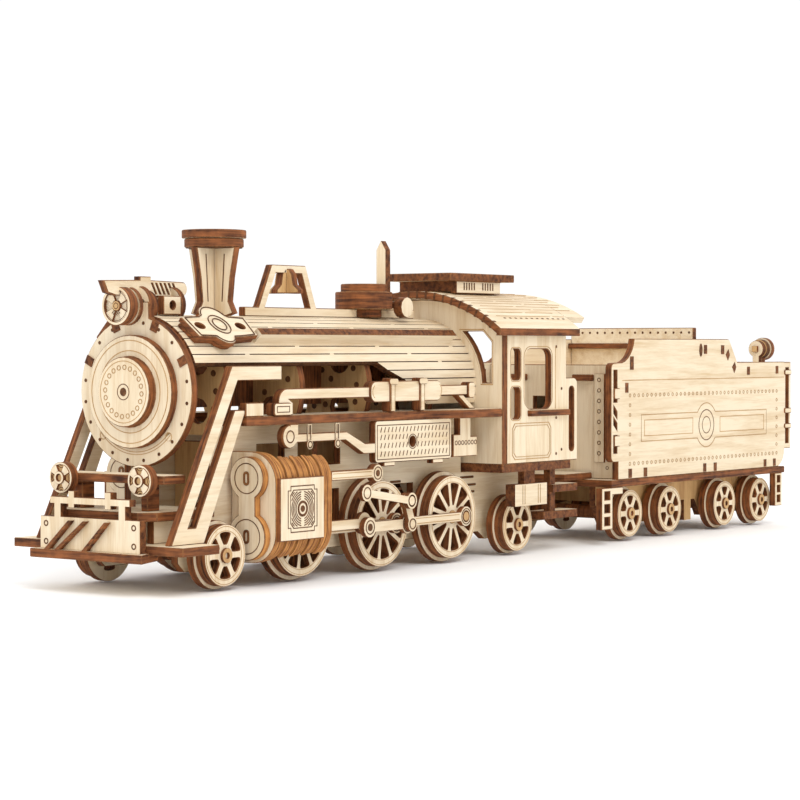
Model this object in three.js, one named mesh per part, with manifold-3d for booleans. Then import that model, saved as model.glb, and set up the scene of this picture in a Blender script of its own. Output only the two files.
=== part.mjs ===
// Laser-cut plywood steam locomotive with its tender, standing on its wheels.
// Units are millimetres, +Z up. Stations along the train (x) are counted from the front
// edge of the pilot towards the tender; the whole group is centred at the end.
import * as THREE from "three";
import { mergeVertices } from "three/addons/utils/BufferGeometryUtils.js";
import Module from "manifold-3d";

const wasm = await Module();
wasm.setup();

// ---------- overall and sheet sizes ----------
const LENGTH = 287;
const TOP_Z = 81;
const PLY = 2;
const JOIN = 0.4;
const LEFT = -1;
const RIGHT = 1;

// ---------- wheels ----------
const TREAD_OUT = 19.9;
const FLANGE_OUT = 17.2;
const FLANGE_IN = 15.2;
const AXLE_R = 2;
const AXLE_HOLE_R = 2.3;
const HUB_R = 1.8;
const HUB_OUT = 20.6;
const SMALL_WHEEL = { tread: 6.9, flange: 7.7, facets: 24, hub: true };
const TENDER_WHEEL = { tread: 6.6, flange: 7.5, facets: 24, hub: true };
const DRIVER = { tread: 10.36, flange: 11.36, facets: 32, hub: false };
const PILOT_AXLE_X = 23.9;
const TRAILING_AXLE_X = 140.2;
const DRIVER_X = [50.85, 81.6, 110.8];
const TENDER_AXLE_X = [196.7, 218.6, 250.8, 272.9];

// ---------- rods, in layers outside the driving wheels ----------
const CRANK_R = 3.8;
const PIN_R = 1.2;
const PIN_HOLE_R = 1.5;
const SIDE_ROD_Y = [20.15, 21.55];
const CROSSHEAD_Y = [21.8, 23.2];
const MAIN_ROD_Y = [23.45, 24.85];
const RETURN_CRANK_Y = [25.1, 26.3];
const ECCENTRIC_ROD_Y = [26.55, 27.75];
const RETURN_PIN = [83.2, 17.1];
const ECCENTRIC_END = [65.5, 19.8];
const CROSSHEAD_HUB = [70.4, 12.3];
const PISTON_ROD_FRONT_X = 47.5;
const MAIN_ROD_LENGTH = 15;

// ---------- frames ----------
const FRAME_IN = 11;
const FRAME_OUT = 13;
const FRAME_TOP = 36.2;
const FRAME_FOOT = 6;
const HORN_Z = 4;
const DECK_Z = [15.9, 17.9];
const WING_Z = [8.9, 10.9];
const CROSS_MEMBER_X = [41.5, 66, 95, 121.5];

// ---------- boiler ----------
const BOILER_Z = 43.9;
const JACKET_R = 17.3;
const JACKET_X = [18.4, 125];
const JACKET_FACETS = 33;
const FORMER_R = 15.2;
const FORMER_X = [30, 56, 82, 108];
const RING_R = 16.9;
const RING_X = 16.4;
const DOOR_R = 12.7;
const DOOR_BOSS_R = 7.85;
const JACKET_TOP = BOILER_Z + JACKET_R * Math.cos(Math.PI / JACKET_FACETS / 2);
const SPINE_TOP = 63.4;
const CHIMNEY_X = 43.2;
const DOME_X = 100.4;
const BELL_X = 70.1;
const WHISTLE_X = 107.6;

// ---------- running boards and cylinders ----------
const BOARD_Z = [36.2, 38.3];
const BOARD_OUT = 21;
const BOARD_WIDE = 25.3;
const CYLINDER_X = [34.1, 39, 55];
const CYLINDER_Z = [5.2, 30.3];
const CYLINDER_OUT = 26;
const CYLINDER_SLAB_IN = 22.7;
const CYLINDER_CORNER_R = 7;

// ---------- cab ----------
const CAB_X = 125;
const CAB_OUT = 25.5;
const CAB_FLOOR_Z = [21.9, 24];
const CAB_FLOOR_END = 157;
const ROOF_AXIS_Z = 24.3;
const ROOF_R = 44;
const ROOF_PLY = 1.8;
const EAVE_Z = 57.9;
const EAVE_OUT = 26.8;
const PIVOT_X = 165;

// ---------- tender ----------
const TENDER_IN = 20.9;
const TENDER_OUT = 22.9;
const TENDER_FLOOR_Z = [15.4, 17.4];
const TENDER_REAR_X = 281;
const TENDER_WALL_TOP = 49.4;
const TENDER_DECK_Z = [43.7, 45.7];
const BOGIE_Y = [12, 14];

// ---------- colours ----------
const SHEET_FACE = "#e3cba0";
const SHEET_WARM = "#d8ba8a";
const CUT_EDGE = "#b98a58";
const DISC_BROWN = "#a87848";

const group = new THREE.Group();
group.name = "wooden_locomotive_model";

function material(colour) {
  return new THREE.MeshStandardMaterial({ color: colour, roughness: 0.75, metalness: 0 });
}

function addPiece(name, geometry, colour) {
  const mesh = new THREE.Mesh(geometry, material(colour));
  mesh.name = name;
  group.add(mesh);
}

// ---------- outlines ----------
function arc(cx, cy, radius, fromDeg, toDeg, steps) {
  const points = [];
  for (let i = 0; i <= steps; i += 1) {
    const angle = THREE.MathUtils.degToRad(fromDeg + ((toDeg - fromDeg) * i) / steps);
    points.push([cx + radius * Math.cos(angle), cy + radius * Math.sin(angle)]);
  }
  return points;
}

function circle(cx, cy, radius, steps = 16) {
  return arc(cx, cy, radius, 0, 360, steps).slice(0, steps);
}

function box2(x0, y0, x1, y1) {
  return [[x0, y0], [x1, y0], [x1, y1], [x0, y1]];
}

function mirrored(outline) {
  return outline.concat(outline.slice().reverse().map(([y, z]) => [-y, z]));
}

// Bar with a round eye at every centre; the centres lie on one straight line.
function rodOutline(centres, eyeRadius, halfBar) {
  const [first, last] = [centres[0], centres[centres.length - 1]];
  const lean = THREE.MathUtils.radToDeg(Math.atan2(last[1] - first[1], last[0] - first[0]));
  const cut = THREE.MathUtils.radToDeg(Math.asin(halfBar / eyeRadius));
  const eye = (centre, from, to, steps) => arc(...centre, eyeRadius, lean + from, lean + to, steps);
  const middle = centres.slice(1, -1);
  const over = middle.flatMap((c) => eye(c, 180 - cut, cut, 6));
  const under = middle.slice().reverse().flatMap((c) => eye(c, -cut, cut - 180, 6));
  return [
    ...eye(first, 360 - cut, cut, 12),
    ...over,
    ...eye(last, 180 - cut, cut - 180, 12),
    ...under,
  ];
}

// ---------- sheets cut from an outline ----------
function prism(outline, z0, z1) {
  const points = outline.map(([x, y]) => new THREE.Vector2(x, y));
  const shape = new THREE.Shape(THREE.ShapeUtils.isClockWise(points) ? points.reverse() : points);
  const geometry = new THREE.ExtrudeGeometry(shape, { depth: z1 - z0, bevelEnabled: false });
  geometry.translate(0, 0, z0);
  return geometry;
}

function sheet(outline, holes, depth) {
  const plain = prism(outline, 0, depth);
  return holes.length ? cut(plain, ...holes.map((hole) => prism(hole, -1, depth + 1))) : plain;
}

function flatSheet(outline, holes, z0, z1) {
  const geometry = sheet(outline, holes, z1 - z0);
  geometry.translate(0, 0, z0);
  return geometry;
}

function sideSheet(outline, holes, inner, outer, side) {
  const geometry = sheet(outline, holes, outer - inner);
  geometry.rotateX(Math.PI / 2);
  geometry.translate(0, side === RIGHT ? outer : -inner, 0);
  return geometry;
}

function crossSheet(outline, holes, x0, x1) {
  const geometry = sheet(outline, holes, x1 - x0);
  const turn = new THREE.Matrix4().set(0, 0, 1, x0, 1, 0, 0, 0, 0, 1, 0, 0, 0, 0, 0, 1);
  geometry.applyMatrix4(turn);
  return geometry;
}

function block(x0, x1, y0, y1, z0, z1) {
  const geometry = new THREE.BoxGeometry(x1 - x0, y1 - y0, z1 - z0);
  geometry.translate((x0 + x1) / 2, (y0 + y1) / 2, (z0 + z1) / 2);
  return geometry;
}

function sideBlock(x0, x1, inner, outer, z0, z1, side) {
  return block(x0, x1, Math.min(side * inner, side * outer), Math.max(side * inner, side * outer), z0, z1);
}

// Round bar along Y between two distances from the centre plane.
function sidePin(x, z, radius, inner, outer, side) {
  const geometry = new THREE.CylinderGeometry(radius, radius, outer - inner, 12);
  geometry.translate(x, (side * (inner + outer)) / 2, z);
  return geometry;
}

// Body of revolution about an upright axis; the profile is [radius, z] from bottom to top.
function turnedUpright(profile, x, facets) {
  const geometry = new THREE.LatheGeometry(profile.map(([r, z]) => new THREE.Vector2(r, z)), facets);
  geometry.rotateX(Math.PI / 2);
  geometry.translate(x, 0, 0);
  return geometry;
}

// ---------- booleans ----------
function toSolid(geometry) {
  const bare = geometry.clone();
  bare.deleteAttribute("normal");
  bare.deleteAttribute("uv");
  const merged = mergeVertices(bare, 1e-4);
  const triVerts = Uint32Array.from(merged.index.array);
  const vertProperties = Float32Array.from(merged.attributes.position.array);
  return new wasm.Manifold(new wasm.Mesh({ numProp: 3, vertProperties, triVerts }));
}

function toGeometry(solid) {
  const mesh = solid.getMesh();
  const geometry = new THREE.BufferGeometry();
  geometry.setAttribute("position", new THREE.BufferAttribute(Float32Array.from(mesh.vertProperties), 3));
  geometry.setIndex(new THREE.BufferAttribute(Uint32Array.from(mesh.triVerts), 1));
  const flat = geometry.toNonIndexed();
  flat.computeVertexNormals();
  return flat;
}

function join(...geometries) {
  return toGeometry(geometries.map(toSolid).reduce((sum, next) => sum.add(next)));
}

function cut(geometry, ...tools) {
  return toGeometry(tools.map(toSolid).reduce((rest, tool) => rest.subtract(tool), toSolid(geometry)));
}

function common(geometry, other) {
  return toGeometry(toSolid(geometry).intersect(toSolid(other)));
}

// ---------- wheelsets: an axle and its two wheels, with a flat facet downwards ----------
function wheelset(spec, x) {
  const grow = 1 / Math.cos(Math.PI / spec.facets);
  const half = [
    [AXLE_R, 0],
    [AXLE_R, FLANGE_IN],
    [spec.flange * grow, FLANGE_IN],
    [spec.flange * grow, FLANGE_OUT],
    [spec.tread * grow, FLANGE_OUT],
    [spec.tread * grow, TREAD_OUT],
  ];
  const end = spec.hub ? [[HUB_R, TREAD_OUT], [HUB_R, HUB_OUT], [0, HUB_OUT]] : [[0, TREAD_OUT]];
  const right = half.concat(end);
  const left = right.slice(1).reverse().map(([r, y]) => [r, -y]);
  const profile = left.concat(right.slice(1)).map(([r, y]) => new THREE.Vector2(r, y));
  const geometry = new THREE.LatheGeometry(profile, spec.facets, Math.PI / spec.facets);
  geometry.translate(x, 0, spec.flange);
  return geometry;
}

function drivingWheelset(x, pinEnd) {
  const pinX = x + CRANK_R;
  const pins = [LEFT, RIGHT].map((side) =>
    sidePin(pinX, DRIVER.flange, PIN_R, TREAD_OUT - JOIN, pinEnd, side));
  return join(wheelset(DRIVER, x), ...pins);
}

function addWheelsets() {
  addPiece("wheelset_pilot", wheelset(SMALL_WHEEL, PILOT_AXLE_X), SHEET_WARM);
  addPiece("wheelset_driver_1", drivingWheelset(DRIVER_X[0], SIDE_ROD_Y[1]), SHEET_WARM);
  addPiece("wheelset_driver_2", drivingWheelset(DRIVER_X[1], RETURN_CRANK_Y[0]), SHEET_WARM);
  addPiece("wheelset_driver_3", drivingWheelset(DRIVER_X[2], SIDE_ROD_Y[1]), SHEET_WARM);
  addPiece("wheelset_trailing", wheelset(SMALL_WHEEL, TRAILING_AXLE_X), SHEET_WARM);
  TENDER_AXLE_X.forEach((x, i) =>
    addPiece(`wheelset_tender_${i + 1}`, wheelset(TENDER_WHEEL, x), SHEET_WARM));
}

// ---------- rods ----------
function sideRod(side) {
  const pins = DRIVER_X.map((x) => [x + CRANK_R, DRIVER.flange]);
  const holes = pins.map(([x, z]) => circle(x, z, PIN_HOLE_R));
  return sideSheet(rodOutline(pins, 2.5, 1.1), holes, ...SIDE_ROD_Y, side);
}

function mainRod(side) {
  const pin = [DRIVER_X[1] + CRANK_R, DRIVER.flange];
  const front = [pin[0] - MAIN_ROD_LENGTH, pin[1]];
  return sideSheet(rodOutline([front, pin], 2.4, 1.2), [circle(...pin, PIN_HOLE_R)], ...MAIN_ROD_Y, side);
}

function returnCrank(side) {
  const pin = [DRIVER_X[1] + CRANK_R, DRIVER.flange];
  const plate = sideSheet(rodOutline([pin, RETURN_PIN], 1.9, 1.2), [], ...RETURN_CRANK_Y, side);
  const stud = sidePin(...RETURN_PIN, PIN_R, RETURN_CRANK_Y[0] + JOIN, ECCENTRIC_ROD_Y[1], side);
  return join(plate, stud);
}

function eccentricRod(side) {
  const outline = rodOutline([ECCENTRIC_END, RETURN_PIN], 2, 0.9);
  return sideSheet(outline, [circle(...RETURN_PIN, PIN_HOLE_R)], ...ECCENTRIC_ROD_Y, side);
}

function crosshead(side) {
  const [hubX, hubZ] = CROSSHEAD_HUB;
  const outline = [
    [PISTON_ROD_FRONT_X, hubZ - 1.2],
    [hubX - 4, hubZ - 1.2],
    ...arc(hubX, hubZ, 2.6, 207, 513, 16),
    [hubX - 4, hubZ + 1.2],
    [PISTON_ROD_FRONT_X, hubZ + 1.2],
  ];
  return sideSheet(outline, [circle(hubX, hubZ, 1)], ...CROSSHEAD_Y, side);
}

function addRods(side, word) {
  addPiece(`side_rod_${word}`, sideRod(side), SHEET_FACE);
  addPiece(`main_rod_${word}`, mainRod(side), SHEET_FACE);
  addPiece(`return_crank_${word}`, returnCrank(side), SHEET_WARM);
  addPiece(`eccentric_rod_${word}`, eccentricRod(side), SHEET_FACE);
  addPiece(`crosshead_${word}`, crosshead(side), SHEET_FACE);
}

// ---------- engine frames ----------
function sideFrame(side) {
  const outline = [
    [8, WING_Z[1]],
    [8, DECK_Z[0]],
    [26.5, DECK_Z[0]],
    [26.5, 31],
    [29, FRAME_TOP],
    [124.5, FRAME_TOP],
    [124.5, CAB_FLOOR_Z[0]],
    [CAB_FLOOR_END, CAB_FLOOR_Z[0]],
    [CAB_FLOOR_END, 15],
    [148, 12],
    [145.5, HORN_Z],
    [135, HORN_Z],
    [132, FRAME_FOOT],
    [34, FRAME_FOOT],
    [30, HORN_Z],
    [18, HORN_Z],
    [15.8, FRAME_FOOT],
    [15.8, WING_Z[1]],
  ];
  const axles = [
    [PILOT_AXLE_X, SMALL_WHEEL.flange],
    ...DRIVER_X.map((x) => [x, DRIVER.flange]),
    [TRAILING_AXLE_X, SMALL_WHEEL.flange],
  ];
  const bays = [[59, 73.5], [89, 103.5]];
  const holes = axles.map(([x, z]) => circle(x, z, AXLE_HOLE_R));
  bays.forEach(([x0, x1]) => holes.push(box2(x0, 10, x1, 20)));
  [[43, 53], [58, 74], [88, 104]].forEach(([x0, x1]) => holes.push(box2(x0, 26, x1, 31.5)));
  return sideSheet(outline, holes, FRAME_IN, FRAME_OUT, side);
}

function frameKeel() {
  const keel = block(34, 132, -FRAME_IN, FRAME_IN, FRAME_FOOT, FRAME_FOOT + PLY);
  const members = CROSS_MEMBER_X.map((x) =>
    crossSheet(box2(-FRAME_IN, FRAME_FOOT + 1, FRAME_IN, 32), [circle(0, 20, 6, 20)], x, x + PLY));
  return join(keel, ...members);
}

// ---------- pilot ----------
function pilotBase() {
  const base = flatSheet([[0, -16.9], [9, -13.5], [12, -9], [12, 9], [9, 13.5], [0, 16.9]], [], 7.2, 9.2);
  const wings = block(3.6, 15.6, -CAB_OUT, CAB_OUT, ...WING_Z);
  const fins = [[4.7, 12.3], [0.2, 9.2], [-6.2, 0.9]].map(([top, foot]) =>
    crossSheet([[foot - 0.7, 8.8], [foot + 0.7, 8.8], [top + 0.5, 15.8], [top - 0.5, 15.8]], [], 0, 1.4));
  return join(base, wings, ...fins);
}

function pilotPlate() {
  const plate = crossSheet(box2(-15, 9.2, 15, 16.4), [], 1.5, 3.5);
  const posts = [LEFT, RIGHT].map((side) => sideBlock(1.5, 3.5, 8.7, 10.7, 16, 20, side));
  const rail = block(1.5, 3.5, -12, 12, 19.3, 20.8);
  const crosses = [LEFT, RIGHT].map((side) => sideBlock(1.5, 3.5, 4.6, 6.4, 18.5, 22.2, side));
  return join(plate, ...posts, rail, ...crosses);
}

function frontDeck() {
  return flatSheet([[4, -12], [7, -15], [26, -15], [26, 15], [7, 15], [4, 12]], [], ...DECK_Z);
}

function lampBoard() {
  const board = flatSheet(box2(7, -17, 14, 17), [], 24, 25.9);
  const legs = [LEFT, RIGHT].map((side) => sideBlock(8.5, 12.5, 8.8, 10.8, DECK_Z[1], 24.5, side));
  return join(board, ...legs);
}

function markerLamp(side) {
  const steps = [[5.2, 7, 3.5], [4.4, 5.6, 2.8], [3.7, 4.8, 1.3]];
  const discs = steps.map(([x0, x1, r]) => crossSheet(circle(side * 11.9, 24.8, r, 20), [], x0, x1));
  return join(...discs);
}

function frontStrut(side) {
  const outline = [
    [5.4, WING_Z[1]],
    [16.2, WING_Z[1]],
    [30.4, 39.85],
    [26.5, 39.85],
    [13.4, 14.5],
    [10.9, 14.5],
    [27.6, 46.4],
    [43, 46.4],
    [43, 49.7],
    [25.6, 49.7],
  ];
  return sideSheet(outline, [], 18.5, 20.5, side);
}

// ---------- smokebox and headlight ----------
function smokeboxFront() {
  const neckFrom = 76;
  const rim = arc(0, BOILER_Z, RING_R, neckFrom, -180 - neckFrom, 48);
  return crossSheet([...rim, [-4, 64], [4, 64]], [], RING_X, RING_X + PLY);
}

function smokeboxDoor() {
  const disc = crossSheet(circle(0, BOILER_Z, DOOR_R, 40), [], RING_X - PLY, RING_X);
  const boss = crossSheet(circle(0, BOILER_Z, DOOR_BOSS_R, 32), [], RING_X - 2 * PLY, RING_X - JOIN);
  return join(disc, boss);
}

function headlight() {
  const drum = crossSheet(circle(0, 63, 4.2, 24), [], 10.2, 15.6);
  const visor = sideSheet([[3.8, 69.1], [6.6, 65.6], [32, 65.6], [32, 67.6], [30.5, 69.1]], [], -1, 1, RIGHT);
  const housing = block(RING_X + PLY + 0.1, 28.5, -4.2, 4.2, 61.4, 66.5);
  return join(drum, visor, housing);
}

// ---------- boiler ----------
function boilerJacket() {
  const steps = JACKET_FACETS + 4;
  const step = 180 / JACKET_FACETS;
  const from = -2 * step;
  const to = 180 + 2 * step;
  const outer = arc(0, BOILER_Z, JACKET_R, from, to, steps);
  const inner = arc(0, BOILER_Z, JACKET_R - PLY, to, from, steps);
  const shell = crossSheet(outer.concat(inner), [], ...JACKET_X);
  const edge = [
    [JACKET_X[0], 50.4],
    [84.5, 50.4],
    [87, 48.8],
    [94.9, 45.8],
    [100.5, 42.6],
    [103.6, 40],
    [105, BOARD_Z[1]],
    [JACKET_X[1], BOARD_Z[1]],
    [JACKET_X[1], 62],
    [JACKET_X[0], 62],
  ];
  const kept = sideSheet(edge, [], -20, 20, RIGHT);
  const fins = [42, 138].map((deg) => {
    const fin = block(41.5, 118.5, JACKET_R - 1, JACKET_R + 3.2, -1, 1);
    fin.rotateX(THREE.MathUtils.degToRad(deg));
    fin.translate(0, 0, BOILER_Z);
    return fin;
  });
  return join(common(shell, kept), ...fins);
}

function boilerFormer() {
  const shoulder = FRAME_TOP - BOILER_Z;
  const foot = THREE.MathUtils.radToDeg(Math.asin(shoulder / FORMER_R));
  const right = [[0, 34], [FRAME_IN - 0.1, 34], [FRAME_IN - 0.1, FRAME_TOP]];
  right.push(...arc(0, BOILER_Z, FORMER_R, foot, 90, 20));
  const outline = right.concat(right.slice(1, -1).reverse().map(([y, z]) => [-y, z]));
  const holes = [-40, 40, 140, 220].map((deg) => {
    const angle = THREE.MathUtils.degToRad(deg);
    return circle(8.6 * Math.cos(angle), BOILER_Z + 1 + 8.6 * Math.sin(angle), 3, 12);
  });
  const discs = FORMER_X.map((x) => crossSheet(outline, holes, x, x + PLY));
  const web = block(JACKET_X[0], JACKET_X[1], -1, 1, 40, 58.6);
  return join(web, ...discs);
}

function boilerSpine() {
  const outline = [
    [53, JACKET_TOP],
    [120.5, JACKET_TOP],
    [120.5, SPINE_TOP],
    [80.1, SPINE_TOP],
    [76, 73.6],
    [63, 73.6],
    [58.1, SPINE_TOP],
    [53, SPINE_TOP],
  ];
  const opening = [[60.6, SPINE_TOP], [77.6, SPINE_TOP], [74.4, 71.6], [64.6, 71.6]];
  return sideSheet(outline, [opening], -1, 1, RIGHT);
}

function bell() {
  const profile = [[0, 63.9], [5.3, 63.9], [4.7, 65], [3.3, 67], [2.7, 70], [0.9, 70], [0.9, 71.6], [0, 71.6]];
  return turnedUpright(profile, BELL_X, 20);
}

function chimney() {
  const wall = [[4.4, JACKET_TOP], [6.2, 61.9], [5.6, 64], [6.1, 74], [7.1, 77.5]];
  const outline = mirrored(wall);
  const across = crossSheet(outline, [], CHIMNEY_X - 1, CHIMNEY_X + 1);
  const along = sideSheet(outline.map(([y, z]) => [CHIMNEY_X + y, z]), [], -1, 1, RIGHT);
  const collar = flatSheet(circle(CHIMNEY_X, 0, 7, 32), [], 77, 79.2);
  const cap = flatSheet(circle(CHIMNEY_X, 0, 7.5, 32), [], 79, TOP_Z);
  return join(across, along, collar, cap);
}

function steamDome() {
  const profile = [
    [0, JACKET_TOP + 0.1],
    [4.5, JACKET_TOP + 0.1],
    [4.5, SPINE_TOP],
    [7.2, SPINE_TOP],
    [7.2, 67.7],
    [5.8, 67.7],
    [5.8, 69.7],
    [0, 69.7],
  ];
  const solid = turnedUpright(profile, DOME_X, 32);
  return cut(solid, block(DOME_X - 6, DOME_X + 6, -1, 1, 60, SPINE_TOP));
}

function whistle() {
  const blade = crossSheet([[-1.5, SPINE_TOP], [1.5, SPINE_TOP], [1.5, 78.5], [0, 80.9], [-1.5, 78.5]],
    [], WHISTLE_X, WHISTLE_X + PLY);
  const shaft = sidePin(WHISTLE_X + 1, 64.6, 0.9, 0.5, 6, LEFT);
  const valve = sidePin(WHISTLE_X + 1, 63.9, 2.6, 5, 7.6, LEFT);
  return join(blade, shaft, valve);
}

// ---------- running boards, tanks, cylinders ----------
function runningBoard(side) {
  const inner = [];
  for (const x of FORMER_X) {
    inner.push([x - 0.1, FRAME_IN], [x - 0.1, 14.4], [x + PLY + 0.1, 14.4], [x + PLY + 0.1, FRAME_IN]);
  }
  inner.splice(0, 2, [FORMER_X[0], 14.4]);
  const outer = [[CAB_X, FRAME_IN], [CAB_X, BOARD_WIDE], [108, BOARD_WIDE], [98, BOARD_OUT], [FORMER_X[0], BOARD_OUT]];
  const outline = inner.concat(outer).map(([x, y]) => [x, side * y]);
  const board = flatSheet(outline, [], ...BOARD_Z);
  const panelTop = BOARD_Z[0] + JOIN;
  const panel = sideSheet(box2(77.4, 26.1, 109, panelTop), [circle(93.1, 30.7, 2)], 19, BOARD_OUT, side);
  const bracket = sideSheet(box2(110, 27, 120, panelTop), [], 19, BOARD_OUT, side);
  const lever = sideSheet([
    [42.5, panelTop],
    [42.5, 33],
    [44.5, 30.9],
    [47.5, 32],
    [66, 32],
    [73, 28.5],
    [77.6, 28.5],
    [77.6, 31],
    [73.5, 31],
    [66.5, 34],
    [48, 34],
    [48, panelTop],
  ], [], 19, BOARD_OUT, side);
  return join(board, panel, bracket, lever);
}

function airTank(side) {
  const outline = [
    [41, BOARD_Z[1]],
    [46.5, BOARD_Z[1]],
    [46.5, 40.6],
    [44.5, 42],
    [78, 42],
    [79.5, 40.8],
    [104, 40.8],
    [105.6, 42],
    [114, 42],
    [114, BOARD_Z[1]],
    [118, BOARD_Z[1]],
    [118, 44.4],
    [105.6, 44.4],
    [104, 45.6],
    [79.5, 45.6],
    [78, 44.4],
    [43.5, 44.4],
    [41, 42],
  ];
  return sideSheet(outline, [], 19, BOARD_OUT, side);
}

function cylinder(side) {
  const low = CYLINDER_Z[0] + CYLINDER_CORNER_R;
  const high = CYLINDER_Z[1] - CYLINDER_CORNER_R;
  const round = CYLINDER_OUT - CYLINDER_CORNER_R;
  const section = [
    [FRAME_OUT, CYLINDER_Z[0]],
    ...arc(round, low, CYLINDER_CORNER_R, -90, 0, 8),
    ...arc(round, high, CYLINDER_CORNER_R, 0, 90, 8),
    [FRAME_OUT, CYLINDER_Z[1]],
  ].map(([y, z]) => [side * y, z]);
  const body = crossSheet(section, [], CYLINDER_X[0], CYLINDER_X[2]);
  const wheelRoom = sideBlock(CYLINDER_X[1], 60, FRAME_OUT - 1, CYLINDER_SLAB_IN, 0, 40, side);
  const rodGroove = sideBlock(CYLINDER_X[1], 60, CYLINDER_SLAB_IN - 1, 24.7, 9.8, 14.8, side);
  const hollow = cut(body, wheelRoom, rodGroove);
  const lobes = [[24.4, 4.9], [11.3, 5.4]].map(([z, r]) =>
    crossSheet(circle(side * 19.1, z, r, 24), [], CYLINDER_X[0] - PLY, CYLINDER_X[0] + JOIN));
  const waist = sideBlock(CYLINDER_X[0] - PLY, CYLINDER_X[0] + JOIN, 16.6, 21.6, 12, 24, side);
  const sidePlate = sideBlock(34.5, 50.3, CYLINDER_OUT - JOIN, CYLINDER_OUT + 1, 10.3, 24.5, side);
  const valveRod = sideSheet([
    [54, 23],
    ...arc(72.7, 24.1, 2.2, -150, 150, 12),
    [54, 25.2],
  ], [circle(72.7, 24.1, 0.9, 10)], 23.4, 25.4, side);
  return join(hollow, ...lobes, waist, sidePlate, valveRod);
}

// ---------- cab ----------
function cabFrontWall() {
  const crownR = ROOF_R - ROOF_PLY - 0.3;
  const shoulder = CAB_OUT - PLY - 0.2;
  const corner = THREE.MathUtils.radToDeg(Math.acos(shoulder / crownR));
  const outline = [[-CAB_OUT, EAVE_Z], [-CAB_OUT, CAB_FLOOR_Z[1]], [CAB_OUT, CAB_FLOOR_Z[1]], [CAB_OUT, EAVE_Z]];
  outline.push([shoulder, EAVE_Z], ...arc(0, ROOF_AXIS_Z, crownR, corner, 180 - corner, 16), [-shoulder, EAVE_Z]);
  const glass = [[22, 44.8], [22, 55.2], [19.3, 57.9], ...arc(0, BOILER_Z, 19.4, 46, 2.6, 6)];
  const windows = [glass, glass.map(([y, z]) => [-y, z])];
  return crossSheet(outline, windows, CAB_X, CAB_X + PLY);
}

function cabSide(side) {
  const outline = [
    [CAB_X + PLY, CAB_FLOOR_Z[1]],
    [160.3, CAB_FLOOR_Z[1]],
    [160.3, 45.8],
    [154.9, 45.8],
    [154.9, EAVE_Z],
    [CAB_X + PLY, EAVE_Z],
  ];
  const holes = [
    box2(129, 45.5, 133.1, 53.4),
    box2(129, 35.5, 133.1, 43.5),
    box2(135.4, 37.9, 147.6, 53.4),
    box2(156.3, 26.5, 158.7, 43.5),
  ];
  const wall = sideSheet(outline, holes, CAB_OUT - PLY, CAB_OUT, side);
  const armrest = sideBlock(136.5, 154.9, CAB_OUT - JOIN, 26.8, 36.3, 37.6, side);
  return join(wall, armrest);
}

function cabFloor() {
  const floor = block(CAB_X, CAB_FLOOR_END, -CAB_OUT, CAB_OUT, ...CAB_FLOOR_Z);
  const drawTail = block(150, 168, -5, 5, 19.9, CAB_FLOOR_Z[0] + JOIN);
  const drawPin = flatSheet(circle(PIVOT_X, 0, 1.5, 14), [], 17, 20.3);
  const pieces = [drawTail, drawPin];
  for (const side of [LEFT, RIGHT]) {
    pieces.push(sideBlock(133, 148, 21, 24, 12.8, 18.5, side));
    pieces.push(sideBlock(138, 143, 21.5, 23.5, 18, 22.3, side));
    pieces.push(sideBlock(154, 156.5, 19, 21, 9, 22.3, side));
    pieces.push(sideBlock(154, 166, 16, 22, 15.5, 17.5, side));
    pieces.push(sideBlock(149.5, 166, 16, 22, 8.5, 10.5, side));
  }
  return join(floor, ...pieces);
}

function cabRoof() {
  const inside = ROOF_R - ROOF_PLY;
  const eave = THREE.MathUtils.radToDeg(Math.acos(EAVE_OUT / ROOF_R));
  const rest = THREE.MathUtils.radToDeg(Math.acos((CAB_OUT - PLY - 0.1) / inside));
  const outline = [
    [EAVE_OUT, EAVE_Z],
    ...arc(0, ROOF_AXIS_Z, ROOF_R, eave, 180 - eave, 24),
    [-EAVE_OUT, EAVE_Z],
    [-(CAB_OUT - PLY - 0.1), EAVE_Z],
    ...arc(0, ROOF_AXIS_Z, inside, 180 - rest, rest, 24),
    [CAB_OUT - PLY - 0.1, EAVE_Z],
  ];
  const crown = THREE.MathUtils.radToDeg(Math.acos(23 / ROOF_R));
  const tail = [
    ...arc(0, ROOF_AXIS_Z, ROOF_R - 0.05, crown, 180 - crown, 24),
    ...arc(0, ROOF_AXIS_Z, inside + 0.05, 180 - crown, crown, 24),
  ];
  return join(crossSheet(outline, [], 121, 158.8), crossSheet(tail, [], 158, 168));
}

function roofVentilator() {
  const crownZ = ROOF_AXIS_Z + ROOF_R;
  const section = [
    [-9.2, crownZ - 0.5],
    [-7.2, crownZ - 0.5],
    [-7.2, crownZ],
    [7.2, crownZ],
    [7.2, crownZ - 0.5],
    [9.2, crownZ - 0.5],
    [9.2, 71.4],
    [-9.2, 71.4],
  ];
  const box = crossSheet(section, [], 127.8, 148);
  const lid = block(123.7, 153, -10.3, 10.3, 71, 73);
  return join(box, lid);
}

// ---------- tender ----------
function tenderFloor() {
  const floor = block(182, TENDER_REAR_X + PLY, -TENDER_OUT, TENDER_OUT, ...TENDER_FLOOR_Z);
  const drawbar = flatSheet([
    [161.5, -3.5], [169, -4], [172, -14], [186, -14], [186, 14], [172, 14], [169, 4], [161.5, 3.5],
  ], [circle(PIVOT_X, 0, 1.9, 16)], TENDER_FLOOR_Z[1] - JOIN, 19.3);
  const pieces = [drawbar];
  for (const side of [LEFT, RIGHT]) {
    pieces.push(sideSheet([[178, 4], [180, 4], [185.6, 15.9], [182.2, 15.9], [178, 10]], [],
      TENDER_IN, TENDER_OUT, side));
    pieces.push(sideBlock(277, 281.5, TENDER_IN, TENDER_OUT, 5.4, 16, side));
  }
  return join(floor, ...pieces);
}

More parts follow.
